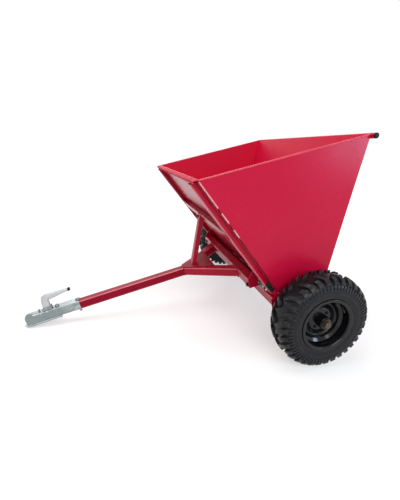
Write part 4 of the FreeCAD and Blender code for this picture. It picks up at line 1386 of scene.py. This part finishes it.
def makeCoupling():
    low, high = levelBox("coupling_body")
    nose = high.x
    head = nose - (couplingShape["headRadius"] + couplingShape["lipRoll"])
    drawHigh = levelBox("drawbar_tube")[1]
    outer = drawHigh.y + couplingShape["sleeveWall"]
    sleeveTop = drawHigh.z + couplingShape["sleeveWall"]
    foot = low.z
    lipBack = nose - couplingShape["lipStart"]
    corner = couplingShape["sleeveCorner"]
    lift = couplingShape["lipLift"]
    radius = couplingShape["headRadius"]
    # x, half width, top, corner radius, lower edge, share of the lip
    stations = [
        (low.x, outer, sleeveTop, corner, foot + lift, 0),
        (lipBack - 8 * mm, outer, sleeveTop, corner, foot + lift, 0),
        (lipBack + 4 * mm, outer, sleeveTop, corner, foot, 1),
        (drawHigh.x + 4 * mm, outer, sleeveTop, corner, foot, 1),
        (drawHigh.x + 22 * mm, outer + 0.8 * mm, sleeveTop + 1 * mm, 11 * mm, foot, 1),
        (head - 22 * mm, outer + 2 * mm, sleeveTop + 3.4 * mm, 19 * mm, foot, 1),
        (head, radius, high.z, radius, foot, 1)]
    shell = newShape()
    loops = []
    for station in stations:
        spots = couplingSection(*station)
        loops.append([shell.verts.new(spot) for spot in spots])
        for pair in zip(loops[-1], loops[-1][1:]):
            shell.edges.new(pair)
    for first, second in zip(loops, loops[1:]):
        edges = [shell.edges.get(pair) for loop in (first, second)
                 for pair in zip(loop, loop[1:])]
        bmesh.ops.bridge_loops(shell, edges=edges)
    last = loops[-1]
    lines = [shell.edges.get(pair) for pair in zip(last, last[1:])]
    bmesh.ops.spin(shell, geom=last + lines, cent=(head, 0, 0), axis=(0, 0, -1), steps=10,
                   angle=math.pi / 2)
    bmesh.ops.mirror(shell, geom=shell.verts[:] + shell.edges[:] + shell.faces[:],
                     axis="Y", merge_dist=0.02 * mm)
    bmesh.ops.remove_doubles(shell, verts=shell.verts, dist=0.05 * mm)
    bmesh.ops.recalc_face_normals(shell, faces=shell.faces)
    bmesh.ops.solidify(shell, geom=shell.faces[:], thickness=couplingShape["sheet"])
    # faces of the top corner, picked by how far up they point, take the pale zinc of a painted highlight
    least, most = couplingShape["rubbedCorner"]
    highlightTo = stations[-2][0]
    for face in shell.faces:
        middle = face.calc_center_median()
        face.material_index = int(least < face.normal.z < most and middle.x < highlightTo
                                  and middle.z > foot + 2 * lift)
    addPiece("couplingBody", shell, "frame", "zinc_plate", hides=("coupling_body",),
             second="rubbedZinc")


def loft(shape, rings):
    for first, second in zip(rings, rings[1:]):
        bmesh.ops.bridge_loops(shape, edges=first + second)
    for ring in (rings[0], rings[-1]):
        bmesh.ops.contextual_create(shape, geom=ring)
    bmesh.ops.recalc_face_normals(shape, faces=shape.faces)


def makeCouplingBead():
    # the rolled lip from one side round the nose to the other, its top given a painted highlight
    low, high = levelBox("coupling_body")
    bead = newShape()
    radius = couplingShape["beadRadius"]
    head = high.x - couplingShape["headRadius"] - couplingShape["lipRoll"]
    reach = couplingShape["headRadius"] + couplingShape["lipRoll"] - radius * 0.4
    start = high.x - couplingShape["lipStart"]
    height = low.z + couplingShape["lipThick"] * 0.6
    steps = couplingShape["beadSteps"]
    # x of each ring's centre of turn, and the angle from there to the ring
    turns = [(start, 0)] + [(head, math.pi * k / steps) for k in range(steps + 1)]
    turns.append((start, math.pi))
    rings = []
    for along, angle in turns:
        place = (Matrix.Translation((along, 0, height)) @ Matrix.Rotation(-angle, 4, "Z")
                 @ Matrix.Translation((0, reach, 0)) @ Matrix.Rotation(math.pi / 2, 4, "Y"))
        made = bmesh.ops.create_circle(bead, segments=16, radius=radius, matrix=place)
        rings.append(list({edge for vert in made["verts"] for edge in vert.link_edges}))
    loft(bead, rings)
    # the bead's upward faces take the pale zinc of a painted highlight
    for face in bead.faces:
        face.material_index = int(face.normal.z > couplingShape["rubbedFrom"])
    addPiece("couplingBead", bead, "frame", "zinc_plate", second="rubbedZinc")


makeCoupling()
makeCouplingBead()
print("coupling made")

# coupling handle and fittings

handleShape = {
    # behind the front of the foot, up, half depth, half width, lean of the section in degrees
    "stations": ((20.5, 1, 20, 13, 0), (21.5, 20, 19.5, 13, 0), (24, 42, 19, 13, -8),
                 (29, 60, 20.5, 13, -40), (40, 66, 17.5, 13, -72), (55, 66, 15, 13, -86),
                 (90, 68.5, 12.4, 12.4, -87), (130, 72, 8.6, 11.4, -88),
                 (148, 72, 7.4, 10.4, -90)),
    "power": 3.2,
    "steps": 28,
    "capStations": ((148, 71, 7.4, 10.6, -90), (150, 71, 8.2, 11.4, -90),
                    (156, 71, 8.2, 11.4, -90), (158, 71, 6.6, 9.6, -90)),
}


def sectionLoop(shape, place, halfDeep, halfWide, power, steps):
    # a ring in the XY plane of its placement, squarer as the power grows
    made = bmesh.ops.create_circle(shape, segments=steps, radius=1)
    for vert in made["verts"]:
        across, along = vert.co.x, vert.co.y
        vert.co.x = math.copysign(abs(across) ** (2 / power), across) * halfDeep
        vert.co.y = math.copysign(abs(along) ** (2 / power), along) * halfWide
    bmesh.ops.transform(shape, matrix=place, verts=made["verts"])
    return list({edge for vert in made["verts"] for edge in vert.link_edges})


def handleLoft(stations, front, foot):
    shape = newShape()
    rings = []
    for behind, up, deep, wide, lean in stations:
        place = (Matrix.Translation((front - behind * mm, 0, foot + up * mm))
                 @ Matrix.Rotation(math.radians(lean), 4, "Y"))
        rings.append(sectionLoop(shape, place, deep * mm, wide * mm, handleShape["power"],
                                 handleShape["steps"]))
    loft(shape, rings)
    return shape


def makeHandle():
    low, high = levelBox("coupling_handle")
    lever = handleLoft(handleShape["stations"], high.x, low.z)
    addPiece("couplingHandle", lever, "frame", "zinc_plate", "handleZinc",
             hides=("coupling_handle",))
    cap = handleLoft(handleShape["capStations"], high.x, low.z)
    addPiece("handleCap", cap, "frame", "black_plastic")


fittingShape = {
    # places are behind the front of the handle's foot, and heights above the foot
    "pins": (10 * mm, 33 * mm),
    "pinEnds": 19 * mm,
    "pinHeight": 8 * mm,
    "pinRadius": 4 * mm,
    "ear": ((-43 * mm, 14.2 * mm, -2 * mm), (3 * mm, 17 * mm, 16 * mm)),    # two corners
    "earRounding": 1.2 * mm,
    "rivets": ((13 * mm, -8 * mm), (-18 * mm, -8 * mm)),
    "rivetSide": 27 * mm,
    # radius and height in millimetres
    "rivet": ((0, 0), (7, 0), (6, 1.6), (3, 2.6), (0, 2.9)),
    "peg": ((21 * mm, 0, -2 * mm), (21 * mm, 0, 13 * mm)),
    "pegRadius": 4.5 * mm,
    # ahead of the body's back, and how much of the stud shows
    "bolts": ((9 * mm, 0), (113 * mm, 4 * mm)),
    "boltFlats": 17 * mm,
    "boltShift": 2 * mm,
    "lowStud": 11 * mm,
}


def makeCouplingFittings():
    low, high = levelBox("coupling_handle")
    front = Vector((high.x, 0, low.z))
    fittings, bolts = newShape(), newShape()
    for behind in fittingShape["pins"]:
        middle = front + Vector((-behind, 0, fittingShape["pinHeight"]))
        reach = Vector((0, fittingShape["pinEnds"], 0))
        joinTo(fittings, roundBar(middle - reach, middle + reach, fittingShape["pinRadius"], 20))
    for side in outboard.values():
        near, far = (front + Vector(corner) for corner in fittingShape["ear"])
        ear = block(near, far, fittingShape["earRounding"])
        joinTo(fittings, ear if side > 0 else mirrored(ear, (1, -1, 1)))
        for along, height in fittingShape["rivets"]:
            spot = front + Vector((along, fittingShape["rivetSide"] * side, height))
            joinTo(fittings, turned(inMetres(fittingShape["rivet"]), 24, closed=False),
                   aimed(spot, (0, side, 0)))
    foot, tip = (front + Vector(end) for end in fittingShape["peg"])
    joinTo(fittings, roundBar(foot, tip, fittingShape["pegRadius"], 20))
    addPiece("couplingFittings", fittings, "frame", "zinc_plate")
    back = levelBox("coupling_body")[0].x
    under = levelBox("drawbar_tube")[0].z
    flats = fittingShape["boltFlats"]
    for along, stud in fittingShape["bolts"]:
        addBolt(bolts, (back + along, 0, low.z), (0, 0, 1), flats, stud)
        addBolt(bolts, (back + along + fittingShape["boltShift"], 0, under), (0, 0, -1), flats,
                fittingShape["lowStud"])
    addPiece("couplingBolts", bolts, "frame", "zinc_plate", "barePlate")


makeHandle()
makeCouplingFittings()
print("coupling handle and fittings made")

# floor and light

studio = {
    "floorSize": 30.0,
    "floorColour": (0.60, 0.595, 0.59),
    "lift": (0.52, 1.0),         # how much the floor is lifted to white, near and far
    "liftRange": (1.0, 3.2),     # metres from the middle
    "skyLight": 0.35,
}
softboxes = {
    # place, aimed at, width, height, colour, power
    "keyLight": ((-0.2, 2.9, 1.9), (-0.2, 0.4, 0.5), 1.8, 1.4, (1, 1, 1), 42),
    "topLight": ((0.3, -0.2, 3.2), (-0.2, 0.0, 0.3), 2.6, 2.6, (1, 1, 1), 62),
    "backLight": ((1.2, -3.4, 1.6), (0.1, 0.0, 0.3), 3.4, 1.5, (1, 1, 1), 18),
    "windowLight": ((-3.2, 3.2, 1.15), (-0.6, 0.5, 0.8), 0.8, 0.8, (0.58, 0.72, 1.0), 42),
}


def eyeRays(tree):
    # 1 for what the camera sees directly, in gloss or through glass
    path = tree.nodes.new("ShaderNodeLightPath")
    seen = addMath(tree, "MAXIMUM", path.outputs["Is Camera Ray"], path.outputs["Is Glossy Ray"])
    return addMath(tree, "MAXIMUM", seen, path.outputs["Is Transmission Ray"])


def makeFloor():
    shape = newShape()
    bmesh.ops.create_grid(shape, x_segments=2, y_segments=2, size=studio["floorSize"] / 2)
    mesh = bpy.data.meshes.new("studioFloor")
    shape.to_mesh(mesh)
    shape.free()
    surface = bpy.data.materials.new("studioFloor")
    surface.use_nodes = True
    tree = surface.node_tree
    shader = tree.nodes["Principled BSDF"]
    shader.inputs["Base Color"].default_value = (*studio["floorColour"], 1)
    shader.inputs["Roughness"].default_value = 0.9
    shader.inputs["Specular IOR Level"].default_value = 0.1
    shader.inputs["Emission Color"].default_value = (1, 1, 1, 1)
    away = tree.nodes.new("ShaderNodeVectorMath")
    away.operation = "LENGTH"
    tree.links.new(tree.nodes.new("ShaderNodeTexCoord").outputs["Object"], away.inputs[0])
    near = addRange(tree, away.outputs["Value"], *studio["liftRange"], *studio["lift"])
    lift = addMath(tree, "MULTIPLY", eyeRays(tree), near)
    tree.links.new(lift, shader.inputs["Emission Strength"])
    mesh.materials.append(surface)
    floor = bpy.data.objects.new("studioFloor", mesh)
    scene.collection.objects.link(floor)


def makeSky():
    world = bpy.data.worlds.new("studioSky")
    scene.world = world
    world.use_nodes = True
    tree = world.node_tree
    sky = tree.nodes["Background"]
    sky.inputs["Color"].default_value = (1, 1, 1, 1)
    strength = addRange(tree, eyeRays(tree), 0, 1, studio["skyLight"], 1.0)
    tree.links.new(strength, sky.inputs["Strength"])


def addSoftboxes():
    for name, (place, target, width, height, colour, power) in softboxes.items():
        data = bpy.data.lights.new(name, "AREA")
        data.shape = "RECTANGLE"
        data.size, data.size_y = width, height
        data.color = colour
        data.energy = power
        lamp = bpy.data.objects.new(name, data)
        lamp.location = place
        aim = Vector(target) - Vector(place)
        lamp.rotation_euler = aim.to_track_quat("-Z", "Y").to_euler()
        lamp.visible_camera = False
        scene.collection.objects.link(lamp)


makeFloor()
makeSky()
addSoftboxes()
scene.view_settings.view_transform = "Standard"
print("studio made")
